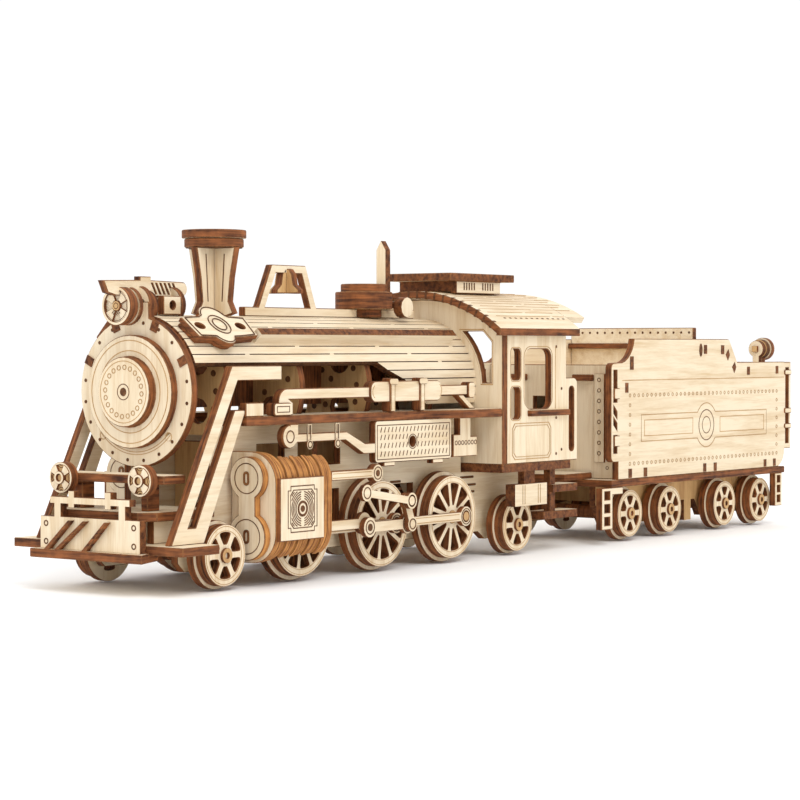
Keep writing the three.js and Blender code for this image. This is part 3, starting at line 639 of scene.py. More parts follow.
def build_skins():
    for cad, mats, axis in ENGINE_SKINS:
        skin(cad, cad + "_cut", "engine", mats, axis)
    for cad, mats, axis in SIDE_SKINS:
        for _, word in SIDES:
            skin(f"{cad}_{word}", f"{cad}_{word}_cut", "engine", mats, axis)
    for cad, mats, axis in TENDER_SKINS:
        skin(cad, cad + "_cut", "tender", mats, axis)


# ---------- engraving ----------
def ring_line(cx, cy, r, width=0.2, steps=40):
    return [ring(cx, cy, r + width / 2, steps), ring(cx, cy, r - width / 2, steps)]


def dots(points, r, steps=10):
    return [ring(x, y, r, steps) for x, y in points]


def line(x0, y0, x1, y1, width=0.22):
    return [strip([(x0, y0), (x1, y1)], width)]


def polar(cx, cy, r, count, start=0.0):
    step = 360 / count
    return [(cx + r * math.cos(math.radians(start + i * step)),
             cy + r * math.sin(math.radians(start + i * step))) for i in range(count)]


def flip(loops):
    return [[(-u, v) for u, v in loop] for loop in loops]


def mark_smokebox():
    marks("ring_dots", dots(polar(0, BOILER_Z, 15.5, 20, 9), 0.42), "YZ", RING_FACE_X, -1, "engine")
    tabs = []
    for deg in (26, 68, 112, 154):
        a = math.radians(deg)
        cy, cz = 15.6 * math.cos(a), BOILER_Z + 15.6 * math.sin(a)
        corner = [(-1.1, -1), (1.1, -1), (1.1, 1), (-1.1, 1)]
        tabs.append([(cy + u * math.cos(a) - v * math.sin(a), cz + u * math.sin(a) + v * math.cos(a))
                     for u, v in corner])
    marks("ring_tabs", tabs, "YZ", RING_FACE_X, -1, "engine", 0.3, (EDGE, EDGE, MARK))
    marks("door_ring_faint", ring_line(0, BOILER_Z, 11.5, 0.2, 64) + ring_line(0, BOILER_Z, 9.2, 0.2, 64),
          "YZ", DOOR_FACE_X, -1, "engine", SKIN, PALE)
    boss_ring = ring_line(0, BOILER_Z, 6.9, 0.16, 56)
    marks("boss_ring_faint", boss_ring, "YZ", BOSS_FACE_X, -1, "engine", SKIN, PALE)
    lower = [strip(arc(0, BOILER_Z, r, 222, 318, 24), 0.16) for r in (13.5, 14.1)]
    for y in (-9.9, 9.9):
        lower += ring_line(y, BOILER_Z - 9.9, 0.95, 0.18, 18)
    marks("ring_faint_arcs", lower, "YZ", RING_FACE_X, -1, "engine", SKIN, PALE)
    rings = []
    for y, z in polar(0, BOILER_Z, 5.5, 20, 4):
        rings += ring_line(y, z, 0.5, 0.2, 14)
    marks("boss_bolts", rings, "YZ", BOSS_FACE_X, -1, "engine", SKIN, PALE_TOPPED)
    marks("boss_centre", ring_line(0, BOILER_Z, 1.75, 0.18, 28) + [ring(0, BOILER_Z, 0.95, 20)],
          "YZ", BOSS_FACE_X, -1, "engine")


def build_headlight():
    visor = [(5.2, 68.6), (6.6, 65.9), (9.2, 65.3), (31.6, 65.3)] + arc(31.2, 67.1, 1.6, -60, 80, 8)
    visor += [(20.6, 68.9), (20.6, 69.7), (16.9, 69.7), (16.9, 68.9)]
    slots = [[(x, 65.9), (x + 0.35, 65.9), (x - 0.95, 68.2), (x - 1.3, 68.2)]
             for x in (22.0, 23.4, 24.8, 26.2, 27.6, 29.0)]
    parts = Sheets()
    parts.add([visor] + slots, "XZ", -1, 1)
    # the narrower middle disc takes the darker face: painted shade in the groove between the two outer discs
    for r, x0, x1, mats in ((4.3, 10.9, 12.7, CREAM_X), (3.8, 12.7, 13.4, PAINTED_SHADE_SET), (4.3, 13.4, 14.6, CREAM_X)):
        parts.add([ring(0, LAMP_Z, r, 40)], "YZ", x0, x1, mats)
    parts.add([ring(0, LAMP_Z, 4.3, 40), ring(0, LAMP_Z, 3.6, 40)], "YZ", 10.1, 11.0, CREAM_Z, 0.1)
    petals = []
    for mid in (45, 135, 225, 315):
        petal = arc(0, LAMP_Z, 3.75, mid - 22, mid + 22, 6)
        petals.append(petal + arc(0, LAMP_Z, 1.3, mid + 24, mid - 24, 3))
    parts.add(petals, "YZ", 10.35, 11.0, CREAM_Z, 0.08)
    # centre disc behind the petals in the darker face: painted shade
    parts.add([ring(0, LAMP_Z, 1.15, 16)], "YZ", 10.1, 11.0, PAINTED_SHADE_SET, 0.08)
    parts.add([ring(0, 63.4, 4.2, 32), ring(-1.4, 63.4, 1.2, 20)], "YZ", 16.6, 18.2, CREAM_Z)
    parts.add([ring(0, LAMP_Z, 3.7, 32)], "YZ", 18.6, 20.3, CREAM_Z)
    parts.add([ring(0, 63.4, 4.2, 32)], "YZ", 27.2, 28.9, CREAM_Z)
    for side, _ in SIDES:
        parts.add([rect(21.2, 61.2, 27.0, 65.4), ring(24.2, 63.3, 0.95, 20)], "XZ", *span(side, 2.3, 4.2))
    assemble(parts, "headlight_built", "engine", ("headlight",))
    arcs = [strip(arc(0, 60.6, r, 30, 150, 8), 0.16) for r in (0.5, 0.95, 1.4)]
    rings = ring_line(0, LAMP_Z, 0.65, 0.18, 18) + ring_line(0, LAMP_Z, 3.3, 0.12, 40)
    marks("headlight_engraving", arcs + rings, "YZ", 10.1, -1, "engine", 0.03)


def build_marker_lamps():
    for side, word in SIDES:
        cy, cz = side * 11.9, 24.8
        parts = Sheets()
        # back disc behind the petals in the darker face: painted shade in the recess
        parts.add([ring(cy, cz, 3.5, 36)], "YZ", 5.0, 7.0, PAINTED_SHADE_SET)
        parts.add([ring(cy, cz, 3.5, 36), ring(cy, cz, 2.9, 36)], "YZ", 4.7, 5.6, CREAM_Z, 0.1)
        for mid in (45, 135, 225, 315):
            petal = arc(cy, cz, 3.1, mid - 22, mid + 22, 6) + arc(cy, cz, 1.0, mid + 32, mid - 32, 3)
            parts.add([petal], "YZ", 4.5, 5.6, CREAM_Z, 0.08)
        parts.add([ring(cy, cz, 1.45, 20), ring(cy, cz, 0.85, 16)], "YZ", 4.1, 5.6, CREAM_Z, 0.08)
        # centre disc in the darker face: painted shade
        parts.add([ring(cy, cz, 0.8, 14)], "YZ", 4.6, 5.6, PAINTED_SHADE_SET, 0.05)
        arcs = []
        for deg, (y, z) in zip((0, 90, 180, 270), polar(cy, cz, 3.3, 4)):
            arcs += [strip(arc(y, z, r, deg + 115, deg + 245, 8), 0.15) for r in (0.6, 1.1)]
        marks(f"lamp_arcs_{word}", arcs, "YZ", 4.98, -1, "engine")
        cad = f"marker_lamp_{word}"
        assemble(parts, cad + "_built", "engine", (cad,))


def mark_pilot():
    rivets = []
    for y in (-13.2, 13.2):
        for z in (10.8, 14.8):
            rivets += ring_line(y, z, 0.55, 0.3, 16)
    marks("pilot_rivets", rivets, "YZ", 1.5, -1, "engine")


def stack_loop(side, full, inset):
    """One sheet of the stack; behind the front two it is cut back to clear the driving wheel."""
    if full:
        return cylinder_section(side, 13.05, inset)
    r = 7.0 - inset
    inner = 22.75
    reach = math.degrees(math.acos((inner - 19) / r))
    loop = arc(19, 12.2, r, -reach, 0, 8) + arc(19, 23.3, r, 0, reach, 8)
    loop += [(inner, 14.8), (24.7, 14.8), (24.7, 9.8), (inner, 9.8)]
    return [(side * u, v) for u, v in loop]


def cylinder_cover(cy):
    """Figure-of-eight cover: two discs joined by a straight waist."""
    half = 2.5
    upper = math.degrees(math.asin(half / 4.9))
    lower = math.degrees(math.asin(half / 5.4))
    top = arc(cy, 24.4, 4.9, -90 + upper, 270 - upper, 28)
    return top + arc(cy, 11.3, 5.4, 90 + lower, 450 - lower, 28)


def cylinder_section(side, inner, inset):
    """Outline of one sheet of the cylinder stack."""
    r = 7.0 - inset
    mid = 19.0
    points = [(inner, 5.2 + inset)] + arc(mid, 12.2, r, -90, 0, 10) + arc(mid, 23.3, r, 0, 90, 10)
    points.append((inner, 30.3 - inset))
    return [(side * u, v) for u, v in points]


def build_cylinders():
    stack_mats = (FACE_Z, STACK, SCORCH)
    first, last, count, gap = 34.1, 55, 10, 0.3
    step = (last - first) / count
    for side, word in SIDES:
        parts = Sheets()
        for i in range(count):
            x0 = first + i * step
            x1 = x0 + step - gap
            full = i < 2
            inset = 0.0 if i % 2 == 0 else 0.2
            mats = stack_mats if full else (STACK, STACK, SCORCH)
            parts.add([stack_loop(side, full, inset)], "YZ", x0, x1, mats, 0.12)
            if i < count - 1:
                parts.add([stack_loop(side, full, 0.7)], "YZ", x1, x0 + step, DARK, 0.01)
        parts.add([cylinder_cover(side * CYLINDER_Y)], "YZ", *COVER_X, stack_mats)
        parts.add([rect(34.5, 10.3, 50.3, 24.5)], "XZ", *span(side, 25.8, CYLINDER_FACE), CREAM_Z)
        rod = [(55.0, 23)] + arc(72.7, 24.1, 2.2, -150, 150, 20) + [(55.0, 25.2)]
        parts.add([rod], "XZ", *span(side, *VALVE_ROD), CREAM_X)
        assemble(parts, f"cylinder_{word}_stack", "engine", (f"cylinder_{word}",))
        cy = side * CYLINDER_Y
        loops = ring_line(cy, VALVE_Z, 3.4, 0.22) + ring_line(cy, PISTON_Z, 3.9, 0.22)
        marks(f"cover_rings_{word}", loops, "YZ", COVER_X[0], -1, "engine")
        slots = []
        for z in (VALVE_Z, PISTON_Z):
            slots.append(rounded(cy - 0.85, z - 1.6, cy + 0.85, z + 1.6, 0.8))
            slots.append(rounded(cy - 0.3, z - 1.0, cy + 0.3, z + 1.0, 0.28))
        marks(f"cover_slots_{word}", slots, "YZ", COVER_X[0], -1, "engine", 0.15, (SCORCH, MARK, MARK))


def grille_arcs(cx, cz):
    """Close rings round the eye, cut off by the grille's outline and by the bar down its middle."""
    arcs = []
    for k in range(7):
        run = []
        for u, v in arc(0, 0, 2.35 + 0.5 * k, 0, 360, 96) + [(0, 0)]:
            if 0.5 < abs(u) < 4.0 and abs(v) < 4.0 and abs(u) + abs(v) < 6.9:
                run.append((cx + u, cz + v))
            else:
                if len(run) > 2:
                    arcs.append(strip(run, 0.24))
                run = []
    return arcs


def mark_cylinders():
    """The side plate's grille in its notched frame, and the valve rod's eye and lines."""
    cx, cz = 42.4, 17.4
    notch = [(5.3, 4.3), (4.3, 4.3), (4.3, 5.3)]
    outer = notch + [(-u, v) for u, v in reversed(notch)]
    outer += [(-u, -v) for u, v in notch] + [(u, -v) for u, v in reversed(notch)]
    grille = [(4.4, 3.2), (3.3, 4.4), (-3.3, 4.4), (-4.4, 3.2)]
    grille += [(-u, -v) for u, v in grille]
    loops = []
    for shape, k in ((outer, 1.0), (outer, 0.955), (grille, 1.0), (grille, 0.95)):
        loops.append([(cx + u * k, cz + v * k) for u, v in shape])
    side_marks("plate_frame", loops, CYLINDER_FACE)
    side_marks("plate_fans", grille_arcs(cx, cz), CYLINDER_FACE)
    eye = ring_line(cx, cz, 1.55, 0.55, 28) + [ring(cx, cz, 0.75, 16)]
    side_marks("plate_eye", eye, CYLINDER_FACE, "engine", 0.1)
    eye = ring_line(72.7, 24.1, 1.45, 0.25, 24) + [ring(72.7, 24.1, 0.8, 14)]
    side_marks("valve_eye", eye, VALVE_ROD[1])
    lines = line(55.5, 23.6, 70.2, 23.6, 0.16) + line(55.5, 24.6, 70.2, 24.6, 0.16)
    side_marks("valve_lines", lines, VALVE_ROD[1], "engine", SKIN, PALE)


def mark_rods():
    pin_x, pin_z = DRIVER_X[1] + CRANK_R, 11.36
    eyes = []
    for x in DRIVER_X:
        eyes += ring_line(x + CRANK_R, pin_z, 1.95, 0.22, 28)
    side_marks("side_rod_eyes", eyes, SIDE_ROD_FACE, "side_rod_{}", 0.12)
    lines = []
    for x0, x1 in ((57.6, 82.4), (88.4, 111.6)):
        lines += line(x0, 12.0, x1, 12.0, 0.16) + line(x0, 10.75, x1, 10.75, 0.16)
    side_marks("side_rod_lines", lines, SIDE_ROD_FACE, "side_rod_{}", 0.1, PALE)
    eyes = ring_line(pin_x, pin_z, 1.9, 0.22, 28) + ring_line(70.4, pin_z, 1.6, 0.22, 28)
    side_marks("main_rod_eyes", eyes + [ring(70.4, pin_z, 0.9, 16)], MAIN_ROD_FACE, "main_rod_{}", 0.12)
    eye = ring_line(pin_x, pin_z, 1.2, 0.25, 24)
    side_marks("return_crank_eye", eye, RETURN_CRANK_FACE, "driver_2", 0.12)
    eye = ring_line(65.5, 19.8, 1.3, 0.25, 24)
    side_marks("eccentric_eye", eye, ECCENTRIC_FACE, "eccentric_rod_{}", 0.1)


def build_running_boards():
    """Each board with the sheets that hang from it: hatched panel, bracket, clips and lever."""
    notched = []
    for x in (56, 82, 108):
        notched += [(x - 0.1, 11), (x - 0.1, 14.4), (x + 2.1, 14.4), (x + 2.1, 11)]
    notched += [(CAB_FRONT_X, 11), (CAB_FRONT_X, 25.3), (108, 25.3), (98, 21), (30, 21), (30, 14.4)]
    notched += [(32.1, 14.4), (32.1, 11)]
    bracket = [(109.8, 26.4), (120.2, 26.4), (120.2, 31.4), (117.4, 31.4), (117.4, 36.25), (112.6, 36.25),
               (112.6, 32.0), (109.8, 32.0)]
    lever = [(45.4, 36.25), (45.4, 35.4)] + arc(45.4, 33.4, 2.7, 90, 318, 14)
    lever += [(48, 32.0), (66, 32), (73, 28.5), (77.6, 28.5), (77.6, 31), (73.5, 31), (66.5, 34)]
    lever += [(48.4, 34), (48.4, 36.25)]
    for side, word in SIDES:
        upright = span(side, *BOARD_SHEET)
        parts = Sheets()
        parts.add([[(x, side * y) for x, y in notched]], "XY", *BOARD_Z)
        panel = [rounded(77.4, 26.1, 109, 36.25, 1.0), ring(92.6, 30.9, 1.25, 24)]
        parts.add(panel, "XZ", *upright, (FACE_X, EDGE, MARK))
        parts.add([bracket], "XZ", *upright, CREAM_Z)
        for x in (81.0, 101.0):
            parts.add([rect(x, 25.2, x + 4.4, 26.3)], "XZ", *upright)
        parts.add([lever], "XZ", *upright)
        parts.add([rect(29.8, BOARD_Z[1], 36.0, 41.4)], "XZ", *upright, CREAM_Z)
        assemble(parts, f"running_board_{word}_built", "engine", (f"running_board_{word}",))


def rounded(x0, y0, x1, y1, r):
    """Rectangle with rounded corners."""
    loop = arc(x1 - r, y1 - r, r, 0, 90, 5) + arc(x0 + r, y1 - r, r, 90, 180, 5)
    return loop + arc(x0 + r, y0 + r, r, 180, 270, 5) + arc(x1 - r, y0 + r, r, 270, 360, 5)


def mark_running_boards():
    face = BOARD_SHEET[1]
    side_marks("panel_frame", frame_line(78.2, 26.8, 108.2, 35.2, 0.2), face)
    hatch = []
    for k in range(19):
        x = 79.6 + 1.5 * k
        by_hole = abs(x + 0.5 - 92.6) <= 1.9
        strokes = ((27.6, 0.4, 1.0), (33.4, 0.45, 1.2)) if by_hole else \
            tuple((z, 0.45, 1.2) for z in (27.6, 29.6, 31.6, 33.4))
        for z, along, up in strokes:
            hatch.append(strip([(x, z), (x + along, z + up)], 0.26))
    side_marks("panel_hatch", hatch, face)
    side_marks("panel_rim", ring_line(92.6, 30.9, 1.75, 0.2, 24), face)
    rings = []
    for k in range(7):
        rings += ring_line(111.0 + 1.4 * k, 29.9, 0.5, 0.2, 12)
    side_marks("bracket_rings", rings, face)
    side_marks("lever_eye", ring_line(45.4, 33.4, 1.35, 0.3, 24), face)
    clamps, rims, straps = [], [], []
    for clamp_x, strap_x in ((52.2, 51.4), (62.6, 61.8)):
        clamps.append(ring(clamp_x, 31.4, 1.1, 20))
        rims += ring_line(clamp_x, 31.4, 0.75, 0.3, 18)
        straps += frame_line(strap_x, 31.9, strap_x + 1.5, 36.1, 0.2)
    side_marks("lever_clamps", clamps, face, "engine", 0.35, CREAM_X)
    side_marks("lever_clamp_rings", rims, face + 0.35)
    side_marks("lever_straps", straps, face, "engine", 0.25, (FACE_X, MARK, MARK))


def crossed_halves(parts, x, half, mats):
    """The lengthways plate of a crossed pair: one half each side of the plate that lies across."""
    for w in (-1, 1):
        parts.add([[(x + w * u, v) for u, v in half][::w]], "XZ", -1, 1, mats)


def build_chimney():
    """Two crossed plates under two round caps."""
    wall = [(4.4, 61.1), (6.5, 61.7), (5.1, 64.4), (5.7, 70), (6.7, 75), (7.1, 76.9)]
    parts = Sheets()
    outline = wall + [(-u, v) for u, v in reversed(wall)]
    parts.add([outline], "YZ", CHIMNEY_X - 1, CHIMNEY_X + 1, CREAM_Z)
    crossed_halves(parts, CHIMNEY_X, [(1.0, 61.1)] + wall + [(1.0, 76.9)], CREAM_Z)
    for r, z0, z1 in ((6.9, 77.0, 78.9), (7.5, 79.1, 81.0)):
        parts.add([ring(CHIMNEY_X, 0, r, 56)], "XY", z0, z1, CREAM_X, 0.15)
    parts.add([ring(CHIMNEY_X, 0, 6.6, 40)], "XY", 76.8, 79.2, DARK, 0.05)
    assemble(parts, "chimney_crossed", "engine", ("chimney",))
    for w, word in ((-1, "a"), (1, "b")):
        across = line(w * 3.3, 64.4, w * 4.0, 75.4, 0.3)
        marks(f"chimney_slot_cross_{word}", across, "YZ", CHIMNEY_X - 1, -1, "engine")
        along = line(CHIMNEY_X + w * 3.3, 64.4, CHIMNEY_X + w * 4.0, 75.4, 0.3)
        marks(f"chimney_slot_side_{word}", along, "XZ", -1.0, -1, "engine")
        marks(f"chimney_slot_far_{word}", along, "XZ", 1.0, 1, "engine")


def build_bell():
    """Bell of two crossed plates hung in the gap of the spine board."""
    flank = [(4.6, 66.8), (4.6, 67.6), (3.0, 68.9), (2.5, 71.4), (1.6, 72.6)]
    outline = [(0, 66.8)] + flank + [(0, 72.9)] + [(-u, v) for u, v in flank[::-1]]
    parts = Sheets()
    parts.add([outline], "YZ", BELL_X - 1, BELL_X + 1, PAINTED_SHADE_SET)
    crossed_halves(parts, BELL_X, [(1.0, 66.8)] + flank + [(1.0, 72.8)], PAINTED_SHADE_SET)
    assemble(parts, "bell_crossed", "engine", ("bell",))


def build_air_tanks():
    """The long pipe above each running board, with its tank, straps, clamps, cap, brace and foot."""
    pipe = [(41.2, 38.35), (46.4, 38.35), (46.4, 41.2), (45.2, 41.9), (116.4, 41.9), (116.4, 44.4)]
    pipe += arc(44.2, 41.4, 3.0, 90, 180, 6)
    brace = [(116.8, 38.35), (119.6, 38.35), (114.2, 41.9), (111.5, 41.9)]
    thick = [rounded(75.0, 40.7, 104.0, 45.7, 1.9), rounded(115.6, 41.1, 118.4, 45.1, 0.8),
             rounded(39.0, 38.3, 45.4, 41.2, 0.7)]
    straps = (82.3, 94.4)
    for side, word in SIDES:
        parts = Sheets()
        for loop in (pipe, brace):
            parts.add([loop], "XZ", *span(side, 19.0, 21.0))
        for loop in thick:
            parts.add([loop], "XZ", *span(side, 19.0, TANK_FACE))
        for x in straps:
            parts.add([rounded(x, 38.35, x + 2.1, 46.4, 0.5)], "XZ", *span(side, 19.2, STRAP_FACE))
            clamp = rounded(x - 0.7, 44.9, x + 2.8, 46.3, 0.6)
            parts.add([clamp], "XZ", *span(side, 21.9, 22.3), None, 0.08)
        assemble(parts, f"air_tank_{word}_built", "engine", (f"air_tank_{word}",))
    ends = [strip(arc(77.4, 43.2, 1.7, 120, 240, 8), 0.16), strip(arc(102.2, 43.2, 1.7, -60, 60, 8), 0.16)]
    side_marks("tank_ends", ends, TANK_FACE, "engine", SKIN, PALE)
    side_marks("tank_feet", frame_line(39.9, 39.0, 44.5, 40.5, 0.2), TANK_FACE)
    bars = []
    for x in straps:
        bars += line(x + 0.35, 38.8, x + 0.35, 44.8, 0.14) + line(x + 1.75, 38.8, x + 1.75, 44.8, 0.14)
    side_marks("strap_lines", bars, STRAP_FACE, "engine", SKIN, PALE_TOPPED)


def build_cab_sides():
    outline = [(127, 24.05), (160.3, 24.05)] + arc(158.6, 44.1, 1.7, 0, 90, 5)
    outline += [(154.9, 45.8), (154.9, 57.9), (127, 57.9)]
    wall = [outline, rounded(129, 45.5, 133.1, 53.4, 1.1), rounded(129, 35.5, 133.1, 43.5, 1.1),
            rounded(135.4, 37.9, 147.6, 53.4, 2.4), rounded(156.3, 26.5, 158.7, 43.5, 1.0)]
    for side, word in SIDES:
        parts = Sheets()
        parts.add(wall, "XZ", *span(side, *CAB_SHEET), CREAM_Z)
        low, high = span(side, 23.6, 26.8)
        parts.add([rect(136.5, low, 154.9, high)], "XY", 36.0, 37.6, CREAM_X)
        assemble(parts, f"cab_side_{word}_built", "engine", (f"cab_side_{word}",))


def mark_frames():
    """Short lightening slots along each side frame."""
    slots = []
    for x0, x1, z in ((61, 66, 20.3), (60.4, 64.6, 18.4), (61, 65.4, 16.6), (94.0, 98.4, 20.6),
                      (93.4, 98.8, 18.8), (94.0, 98.0, 17.0), (124, 130, 20.4), (124.6, 131, 18.4),
                      (126, 130.4, 16.6)):
        slots.append(rounded(x0, z - 0.3, x1, z + 0.3, 0.25))
    side_marks("frame_slots", slots, FRAME_FACE, "engine", 0.1)


def mark_formers():
    """Round holes drilled in two circles through each boiler former."""
    for i, x in enumerate(FORMER_X):
        spots = []
        for r, count in ((11.9, 18), (4.6, 8)):
            for y, z in polar(0, BOILER_Z, r, count, 8 * i):
                if z > 37 and abs(y) < 14:
                    spots.append(ring(y, z, 0.75, 14))
        marks(f"former_dots_{i + 1}", spots, "YZ", x, -1, "engine")
        marks(f"former_dots_back_{i + 1}", spots, "YZ", x + PLY, 1, "engine")


def build_roof():
    """Bent roof sheet with its drooping eaves, and the narrower tail over the tender."""
    inner_r = 42.2
    eave = math.degrees(math.acos(27.5 / ROOF_R))
    under = math.degrees(math.acos(26.2 / inner_r))
    outline = arc(0, ROOF_AXIS_Z, ROOF_R, eave, 180 - eave, 26) + [(-27.5, EAVE_Z), (-26.2, EAVE_Z)]
    outline += arc(0, ROOF_AXIS_Z, inner_r, 180 - under, under, 26) + [(26.2, EAVE_Z), (27.5, EAVE_Z)]
    tail = arc(0, ROOF_AXIS_Z, 43.95, 58.5, 121.5, 22) + arc(0, ROOF_AXIS_Z, 42.25, 121.5, 58.5, 22)
    parts = Sheets()
    for loop, x0, x1 in ((outline, 121, 158.6), (tail, 158.5, 168)):
        sheet = plate([loop], "YZ", x0, x1, (EDGE_ACROSS[2], FACE_X, SCORCH))
        for poly in sheet.polygons:
            if abs(poly.normal.y) > 0.97:
                poly.material_index = 0
        parts.append(sheet)
    truss = [(-25.0, 57.6), (-21.5, 57.6), (-20.0, 60.0), (-23.2, 60.0)]
    for w in (-1, 1):
        parts.add([[(w * u, v) for u, v in truss][::w]], "YZ", 158.6, 160.4, CREAM_Z)
    assemble(parts, "cab_roof_bent", "engine", ("cab_roof",))


def build_tender_floor():
    """Floor sheet, drawbar, and the ladders hung below its corners."""
    parts = Sheets()
    parts.add([rect(182, -22.9, 283, 22.9)], "XY", *TENDER_FLOOR_Z)
    bar = [(161.5, -3.5), (169, -4), (172, -14), (186, -14), (186, 14), (172, 14), (169, 4), (161.5, 3.5)]
    parts.add([bar, ring(165, 0, 1.9, 20)], "XY", 17.4, 19.2)
    front = [[(177, 4), (182.6, 4), (182.6, 13.4), (188, 13.4), (188, 15.4), (177, 15.4)]]
    front += [rect(178.4, z, 181.2, z + 2.2) for z in (5.2, 8.7, 12.2)]
    rear = [rect(277, 5.4, 281.5, 15.4)] + [rect(278.3, z, 280.3, z + 2) for z in (6.6, 9.6, 12.6)]
    for side, _ in SIDES:
        parts.add(front, "XZ", *span(side, *TENDER_SHEET))
        parts.add(rear, "XZ", *span(side, *TENDER_SHEET))
    assemble(parts, "tender_floor_built", "tender", ("tender_floor",))


def build_tender_sides():
    """Each side sheet with its stepped top, corner handrails, braces and rungs."""
    outline = [(185.4, 17.4), (278, 17.4)] + arc(278, 22.4, 5, -80, 0, 6)
    outline += [(283, 22.8), (287, 22.8), (287, 49.3), (283, 49.3), (283, 49.4), (253.0, 49.4)]
    outline += arc(247.2, 54.4, 1.8, 20, 90, 4) + [(193.8, 56.2)] + arc(186, 57.5, 8, -10, -80, 6)
    outline += arc(183.2, 48.0, 1.5, 90, 180, 4) + arc(183.2, 23.8, 1.5, 180, 270, 4) + [(185.4, 22.3)]
    wall = [outline, rect(183, 38.8, 184.8, 47.5), rect(183, 24.8, 184.8, 29.6)]
    wall.append(rect(283.6, 24.5, 285.6, 47.5))
    wall += [[(183, z), (183, z - 2.0), (184.8, z - 3.6), (184.8, z - 1.6)] for z in (37.8, 34.6)]
    rungs = ((182.9, 39.6, 186.0, 42.6), (182.9, 26.6, 186.0, 29.6), (282.6, 45.4, 286.9, 46.9),
             (282.6, 33.6, 286.9, 35.2), (282.6, 29.0, 286.9, 30.4))
    for side, word in SIDES:
        parts = Sheets()
        parts.add(wall, "XZ", *span(side, *TENDER_SHEET))
        for box in rungs:
            parts.add([rounded(*box, 0.5)], "XZ", *span(side, 22.0, 23.3))
        assemble(parts, f"tender_side_{word}_built", "tender", (f"tender_side_{word}",))


def build_tender_rear():
    """Rear wall with its two lamps: a small front disc on a stem, a middle disc in painted shade and a
    larger rear disc.
    """
    x0, x1 = TENDER_REAR_X
    parts = Sheets()
    parts.add([rect(-20.85, 17.45, 20.85, 49.3)], "YZ", x0, x1, CREAM_Z)
    for cy in (-15, 15):
        cz = 53.3
        front = [(cy + 1.1, 48.0)] + arc(cy, cz, 2.5, -64, 244, 28) + [(cy - 1.1, 48.0)]
        parts.add([front], "YZ", 279.1, 280.98, CREAM_Z, 0.1)
        parts.add([rect(cy - 0.9, cz - 0.9, cy + 0.9, cz + 0.9)], "YZ", 278.2, 279.2, PAINTED_SHADE_SET, 0.08)
        parts.add([rect(cy - 1.2, 49.25, cy + 1.2, 51.2)], "YZ", x0, x1, CREAM_Z, 0.1)
        # middle disc between front and rear discs in the darker face: painted shade
        parts.add([ring(cy, cz, 2.9, 32)], "YZ", 280.95, 283.05, (FACE_PAINTED_SHADE, MARK, SCORCH), 0.1)
        parts.add([ring(cy, cz, 3.45, 36)], "YZ", 283, 284.9, CREAM_Z, 0.12)
    assemble(parts, "tender_rear_built", "tender", ("tender_rear_wall",))


def build_tender_trim():
    """The ledge under the bunker board, and the rivet strips and shelves on the tender's front."""
    parts = Sheets()
    parts.add([rect(228.3, -20.8, 229.95, 20.8)], "XY", 53.4, 55.0)
    rings = []
    for w in (-1, 1):
        parts.add([[(w * u, v) for u, v in rect(14.6, 22, 17.8, 46.5)]], "YZ", 186.2, 187.0, CREAM_Z, 0.08)
        parts.add([[(x, w * y) for x, y in rect(185.2, 8, 187, 14)]], "XY", 44.5, 46.3)
        for i in range(8):
            rings += ring_line(w * 16.2, 24.5 + 2.9 * i, 0.5, 0.2, 12)
    assemble(parts, "tender_trim", "tender")
    marks("tender_strip_rivets", rings, "YZ", 186.2, -1, "tender")


def mark_wheels():
    """Fine engraved rings round the rim of every wheel."""
    for body, _, x, tread, z, _, _ in WHEELS:
        rim = 1.9 if body.startswith("driver") else 1.7
        loops = ring_line(x, z, tread - 0.45, 0.14, 48) + ring_line(x, z, tread - rim + 0.3, 0.14, 48)
        for side, word in SIDES:
            marks(f"{body}_rim_lines_{word}", loops, "XZ", side * WHEEL_FACE, side, body, SKIN, PALE)


def scaled(loop, cx, cz, k, m):
    """A loop drawn in towards a centre by one factor along and one up."""
    return [(cx + (u - cx) * k, cz + (v - cz) * m) for u, v in loop]


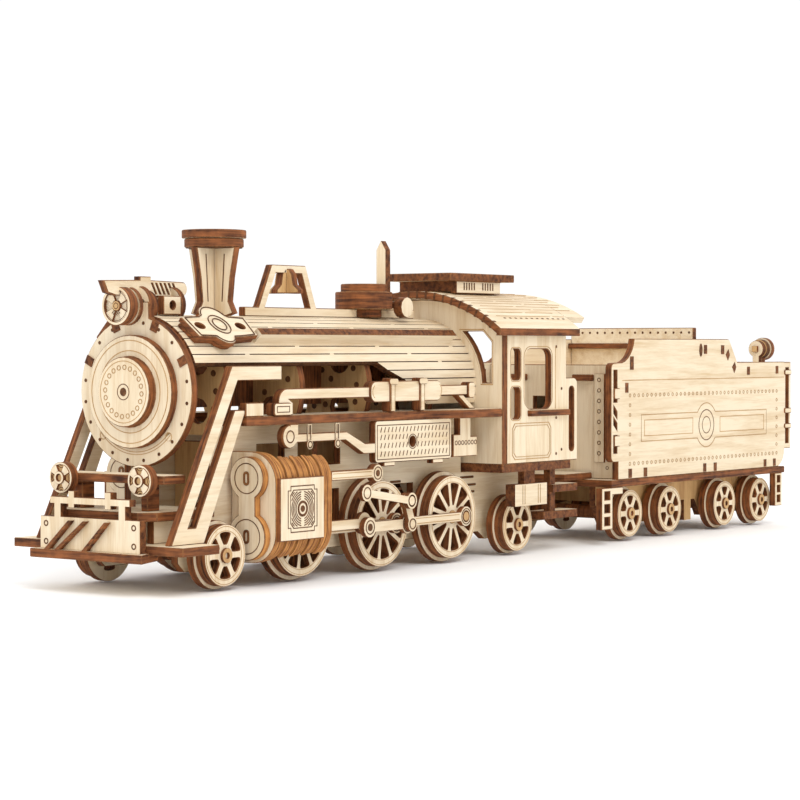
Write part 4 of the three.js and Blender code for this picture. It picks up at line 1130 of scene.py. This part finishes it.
def mark_cab():
    face = CAB_SHEET[1]
    shape = [(130.5, 25.0), (146.5, 25.0), (147.6, 26.2), (147.6, 33.0), (146.5, 34.4), (130.5, 34.4),
             (129.4, 33.0), (129.4, 26.2)]
    scales = ((1.0, 1.0), (0.975, 0.955), (0.925, 0.86), (0.905, 0.825))
    nested = [scaled(shape, 138.5, 29.7, k, m) for k, m in scales]
    side_marks("cab_panel", nested, face, "engine", SKIN, PALE_TOPPED)
    boxes = []
    for x in (136.6, 137.6, 143.8, 144.8):
        boxes += line(x, 13.3, x, 18.2, 0.22)
    side_marks("truck_box_lines", boxes, 24.0, "engine", SKIN, PALE_TOPPED)
    edging = [rounded(128.5, 45.0, 133.6, 53.9, 1.4), rounded(128.7, 45.2, 133.4, 53.7, 1.2),
              rounded(128.5, 35.0, 133.6, 44.0, 1.4), rounded(128.7, 35.2, 133.4, 43.8, 1.2),
              rounded(134.7, 37.95, 148.3, 54.1, 2.9), rounded(134.9, 37.95, 148.1, 53.9, 2.7)]
    side_marks("cab_window_trim", edging, face, "engine", SKIN, PALE_TOPPED)
    bolts = dots([(150, 35.4), (150, 26), (150, 54), (152.6, 27), (152.6, 43)], 0.4)
    side_marks("cab_bolts", bolts, face)
    side_marks("cab_post_line", line(149.6, 37.8, 149.6, 54, 0.2), face, "engine", SKIN, PALE)
    glass = [(22.6, 44.2), (22.6, 55.5), (19.6, 58.5), (12.6, 58.5)] + arc(0, BOILER_Z, 18.8, 50.5, 1.0, 8)
    trim = [glass, scaled(glass, 18.4, 51.5, 0.955, 0.965)]
    marks("cab_glass_trim_right", trim, "YZ", CAB_FRONT_X, -1, "engine", SKIN, PALE)
    marks("cab_glass_trim_left", flip(trim), "YZ", CAB_FRONT_X, -1, "engine", SKIN, PALE)


def mark_roof():
    """Kerf lines along the bent roof, the dotted row at each eave and the notched front edge."""
    parts = []
    for row in range(27):
        deg = 59.0 + 2.4 * row
        begin = 122.6 + (row % 3) * 1.6
        end = 165.5 if 61 < deg < 119 else 157.5
        broken = begin + 12 + (row * 9) % 17
        for x0, x1 in ((begin, broken), (broken + 1.4, end - (row % 2) * 3)):
            parts.append(roof_strip(deg, 0.11, x0, x1, 43.9, 44.05, FAINT))
    for deg in (57.2, 122.8):
        for k in range(12):
            x = 128.0 + 2.5 * k
            parts.append(roof_strip(deg, 0.25, x, x + 0.9, 43.9, 44.06, MARK))
    for k in range(20):
        parts.append(roof_strip(55.6 + 3.65 * k, 0.38, 120.94, 122.3, 42.1, 44.06, MARK))
    assemble(parts, "roof_kerfs", "engine")


def roof_strip(deg, half, x0, x1, r0, r1, mat):
    """A thin bar along the roof, half its angle to each side of the given one."""
    work = bmesh.new()
    corners = []
    for a in (math.radians(deg - half), math.radians(deg + half)):
        for r in (r0, r1):
            for x in (x0, x1):
                corners.append(work.verts.new(metres(x, r * math.cos(a), ROOF_AXIS_Z + r * math.sin(a))))
    for quad in ((0, 1, 3, 2), (4, 6, 7, 5), (0, 4, 5, 1), (2, 3, 7, 6), (0, 2, 6, 4), (1, 5, 7, 3)):
        work.faces.new([corners[i] for i in quad])
    bmesh.ops.recalc_face_normals(work, faces=work.faces)
    mesh = bpy.data.meshes.new("strip")
    work.to_mesh(mesh)
    work.free()
    mesh.materials.append(mat)
    return mesh


def mark_ventilator():
    slots = []
    for start in (131.0, 139.5):
        for k in range(5):
            x = start + k * 1.15
            slots.append(rect(x, 68.7, x + 0.5, 70.6))
    side_marks("vent_louvres", slots, 9.2)


def mark_tender():
    """Seam, rivet rows, tab ends and the band on each side; rivet rows on the board and end walls."""
    face = TENDER_SHEET[1]
    side_marks("tender_seam", line(187.5, 44.7, 282.5, 44.7, 0.2), face, "tender", SKIN, PALE)
    x0, x1, z0, z1 = 191.6, 277.8, 21.6, 40.5
    rings = []
    for i in range(38):
        x = x0 + i * (x1 - x0) / 37
        rings += ring_line(x, z1, 0.45, 0.2, 10) + ring_line(x, z0, 0.45, 0.2, 10)
    for i in range(1, 7):
        z = z0 + i * 2.7
        rings += ring_line(x0, z, 0.45, 0.2, 10) + ring_line(x1, z, 0.45, 0.2, 10)
    side_marks("tender_rivets", rings, face, "tender", SKIN, PALE_TOPPED)
    mark_tender_band(face)
    tabs = [rect(191.5, 47.6, 193.4, 51.3), rect(232.8, 51.9, 234.6, 54.5), rect(243.0, 51.8, 244.8, 54.4),
            rect(258.9, 45.6, 260.6, 48.0), rect(277.1, 45.8, 278.7, 48.1), rect(189.0, 41.3, 190.6, 44.0)]
    for left, right, top in ((190.8, 192.6, 20.2), (199.0, 200.8, 20.2), (232.6, 234.3, 20.1),
                             (238.8, 240.5, 20.1), (269.6, 271.2, 19.9), (275.6, 277.2, 19.9)):
        tabs.append(rect(left, 17.7, right, top))
    for x, z in ((247.0, 51.6), (250.9, 47.9)):
        tabs.append([(x - 1.2, z + 0.1), (x + 0.4, z + 1.6), (x + 1.2, z - 0.1), (x + 0.1, z - 1.7)])
    side_marks("tender_slots", tabs, face, "tender", 0.12, (EDGE, MARK, MARK))
    side_marks("tender_oval", [oval(231.0, 53.0, 0.9, 1.9)], face, "tender", 0.12)
    row = dots([(-19.6 + 2.6 * i, 58.1) for i in range(16)], 0.36)
    marks("bunker_dots", row, "YZ", 230, -1, "tender")
    marks("bunker_dots_rear", row, "YZ", 232, 1, "tender")
    for y, word in ((-18.4, "left"), (18.4, "right")):
        rings = []
        for i in range(11):
            rings += ring_line(y, 20.5 + 2.6 * i, 0.42, 0.2, 10)
        marks(f"tender_front_rivets_{word}", rings, "YZ", 187, -1, "tender")
        marks(f"tender_rear_rivets_{word}", rings, "YZ", TENDER_REAR_X[1], 1, "tender")


def mark_tender_band(face):
    """The engraved band, with an empty roundel in its middle."""
    cx, cz, low, high, left, right = 234.4, 31.3, 27.6, 35.0, 197.7, 271.2
    outer = [(left, low), (229.3, low)] + arc(cx, cz, 6.4, 216, 324, 12) + [(right, low), (right, high)]
    outer += arc(cx, cz, 6.4, 36, 144, 12) + [(left, high)]
    band = strip(outer + [outer[0]], 0.22)
    half = len(band) // 2
    side_marks("band_outer", [band[:half], band[half:]], face, "tender", SKIN, PALE_TOPPED)
    for side, word in SIDES:
        for k, (x0, x1) in enumerate(((199.3, 226.6), (242.4, 269.6))):
            box = frame_line(x0, 29.0, x1, 33.6, 0.2)
            marks(f"band_inner_{word}_{k + 1}", box, "XZ", side * face, side, "tender", SKIN, PALE)
    roundel = ring_line(cx, cz, 4.4, 0.25, 40) + ring_line(cx, cz, 2.4, 0.2, 32)
    side_marks("band_roundel", roundel, face, "tender")


def build_shoulder_plates():
    """Pierced trim plate on each shoulder of the smokebox: two slots and a plain roundel."""
    mid = 30.4
    outline = [(20.2, -3.4), (25.4, -3.6)] + arc(29.0, -2.2, 3.6, 205, 335, 10)
    outline += [(34.8, -3.6), (40.6, -3.0), (41.2, 3.0), (36.0, 3.4)]
    outline += arc(30.6, 2.4, 4.6, 20, 160, 12) + [(25.0, 3.4), (19.4, 3.0)]
    pierced = [outline, oval(23.4, 0.2, 1.5, 1.0), oval(37.2, 0.2, 1.5, 1.0)]
    badge = ring_line(30.3, 0.6, 3.0, 0.22, 28) + ring_line(30.3, 0.6, 1.9, 0.18, 24)
    badge += [scaled(outline, mid, 0, k, k) for k in (0.925, 0.9)]
    under = [scaled(outline, mid, 0, 0.97, 0.9)]
    for turn, word in ((132, "left"), (48, "right")):
        groups = [pierced, under, badge]
        if turn > 90:
            groups = [mirror_t(group) for group in groups]
        parts = [radial_plate(groups[0], 18.4, 19.7, turn), radial_plate(groups[1], 17.2, 18.3, turn),
                 radial_plate(groups[2], 19.65, 19.75, turn, DARK)]
        assemble(parts, f"shoulder_plate_{word}", "engine")


def oval(cx, cy, rx, ry):
    turn = [math.radians(deg) for deg in range(0, 360, 20)]
    return [(cx + rx * math.cos(a), cy + ry * math.sin(a)) for a in turn]


def mirror_t(loops):
    """The same loops for the other side of the boiler."""
    return [[(x, -t) for x, t in loop] for loop in loops]


def build_details():
    for step in (mark_smokebox, build_headlight, build_marker_lamps, mark_pilot, build_cylinders,
                 mark_cylinders, mark_rods, build_running_boards, mark_running_boards, build_chimney,
                 build_bell, build_air_tanks, build_cab_sides, build_roof, build_tender_floor,
                 build_tender_sides, build_tender_rear, build_tender_trim, mark_frames, mark_formers,
                 mark_wheels, mark_cab, mark_roof, mark_ventilator, mark_tender, build_shoulder_plates):
        step()


# ---------- stage ----------
def build_stage():
    bpy.ops.mesh.primitive_plane_add(size=120, location=(0, 0, -0.0003))
    floor = bpy.context.object
    floor.name = "floor"
    mat = bpy.data.materials.new("floor_white")
    mat.use_nodes = True
    mat.node_tree.nodes["Principled BSDF"].inputs["Base Color"].default_value = (0.99, 0.99, 0.99, 1)
    mat.node_tree.nodes["Principled BSDF"].inputs["Roughness"].default_value = 0.9
    floor.data.materials.append(mat)
    world = bpy.data.worlds.new("studio")
    world.use_nodes = True
    world.node_tree.nodes["Background"].inputs["Color"].default_value = (1, 1, 1, 1)
    world.node_tree.nodes["Background"].inputs["Strength"].default_value = 1.04
    bpy.context.scene.world = world
    bpy.context.scene.view_settings.view_transform = "Standard"
    lamps = (("key", (-0.45, -0.75, 0.95), 0.5, 5.2), ("fill", (-0.9, 0.25, 0.5), 0.8, 1.0),
             ("rear", (0.7, 0.5, 0.8), 0.8, 1.6))
    for name, place, size, power in lamps:
        data = bpy.data.lights.new(name, "AREA")
        data.shape = "SQUARE"
        data.size = size
        data.energy = power
        lamp = bpy.data.objects.new(name, data)
        lamp.location = place
        lamp.rotation_euler = (Vector((0, 0, 0.03)) - Vector(place)).to_track_quat("-Z", "Y").to_euler()
        bpy.context.collection.objects.link(lamp)


def build_camera():
    data = bpy.data.cameras.new("camera")
    data.sensor_width = 36
    data.lens = CAMERA_LENS
    data.clip_start = 0.01
    data.clip_end = 200
    camera = bpy.data.objects.new("camera", data)
    camera.location = metres(*CAMERA_AT)
    level = math.cos(CAMERA_DIP)
    look = Vector((CAMERA_LOOK[0] * level, CAMERA_LOOK[1] * level, -math.sin(CAMERA_DIP)))
    camera.rotation_euler = look.to_track_quat("-Z", "Y").to_euler()
    bpy.context.collection.objects.link(camera)
    bpy.context.scene.camera = camera


build_camera()
build_stage()
build_wheels()
build_rods()
planked_jacket()
build_skins()
build_details()
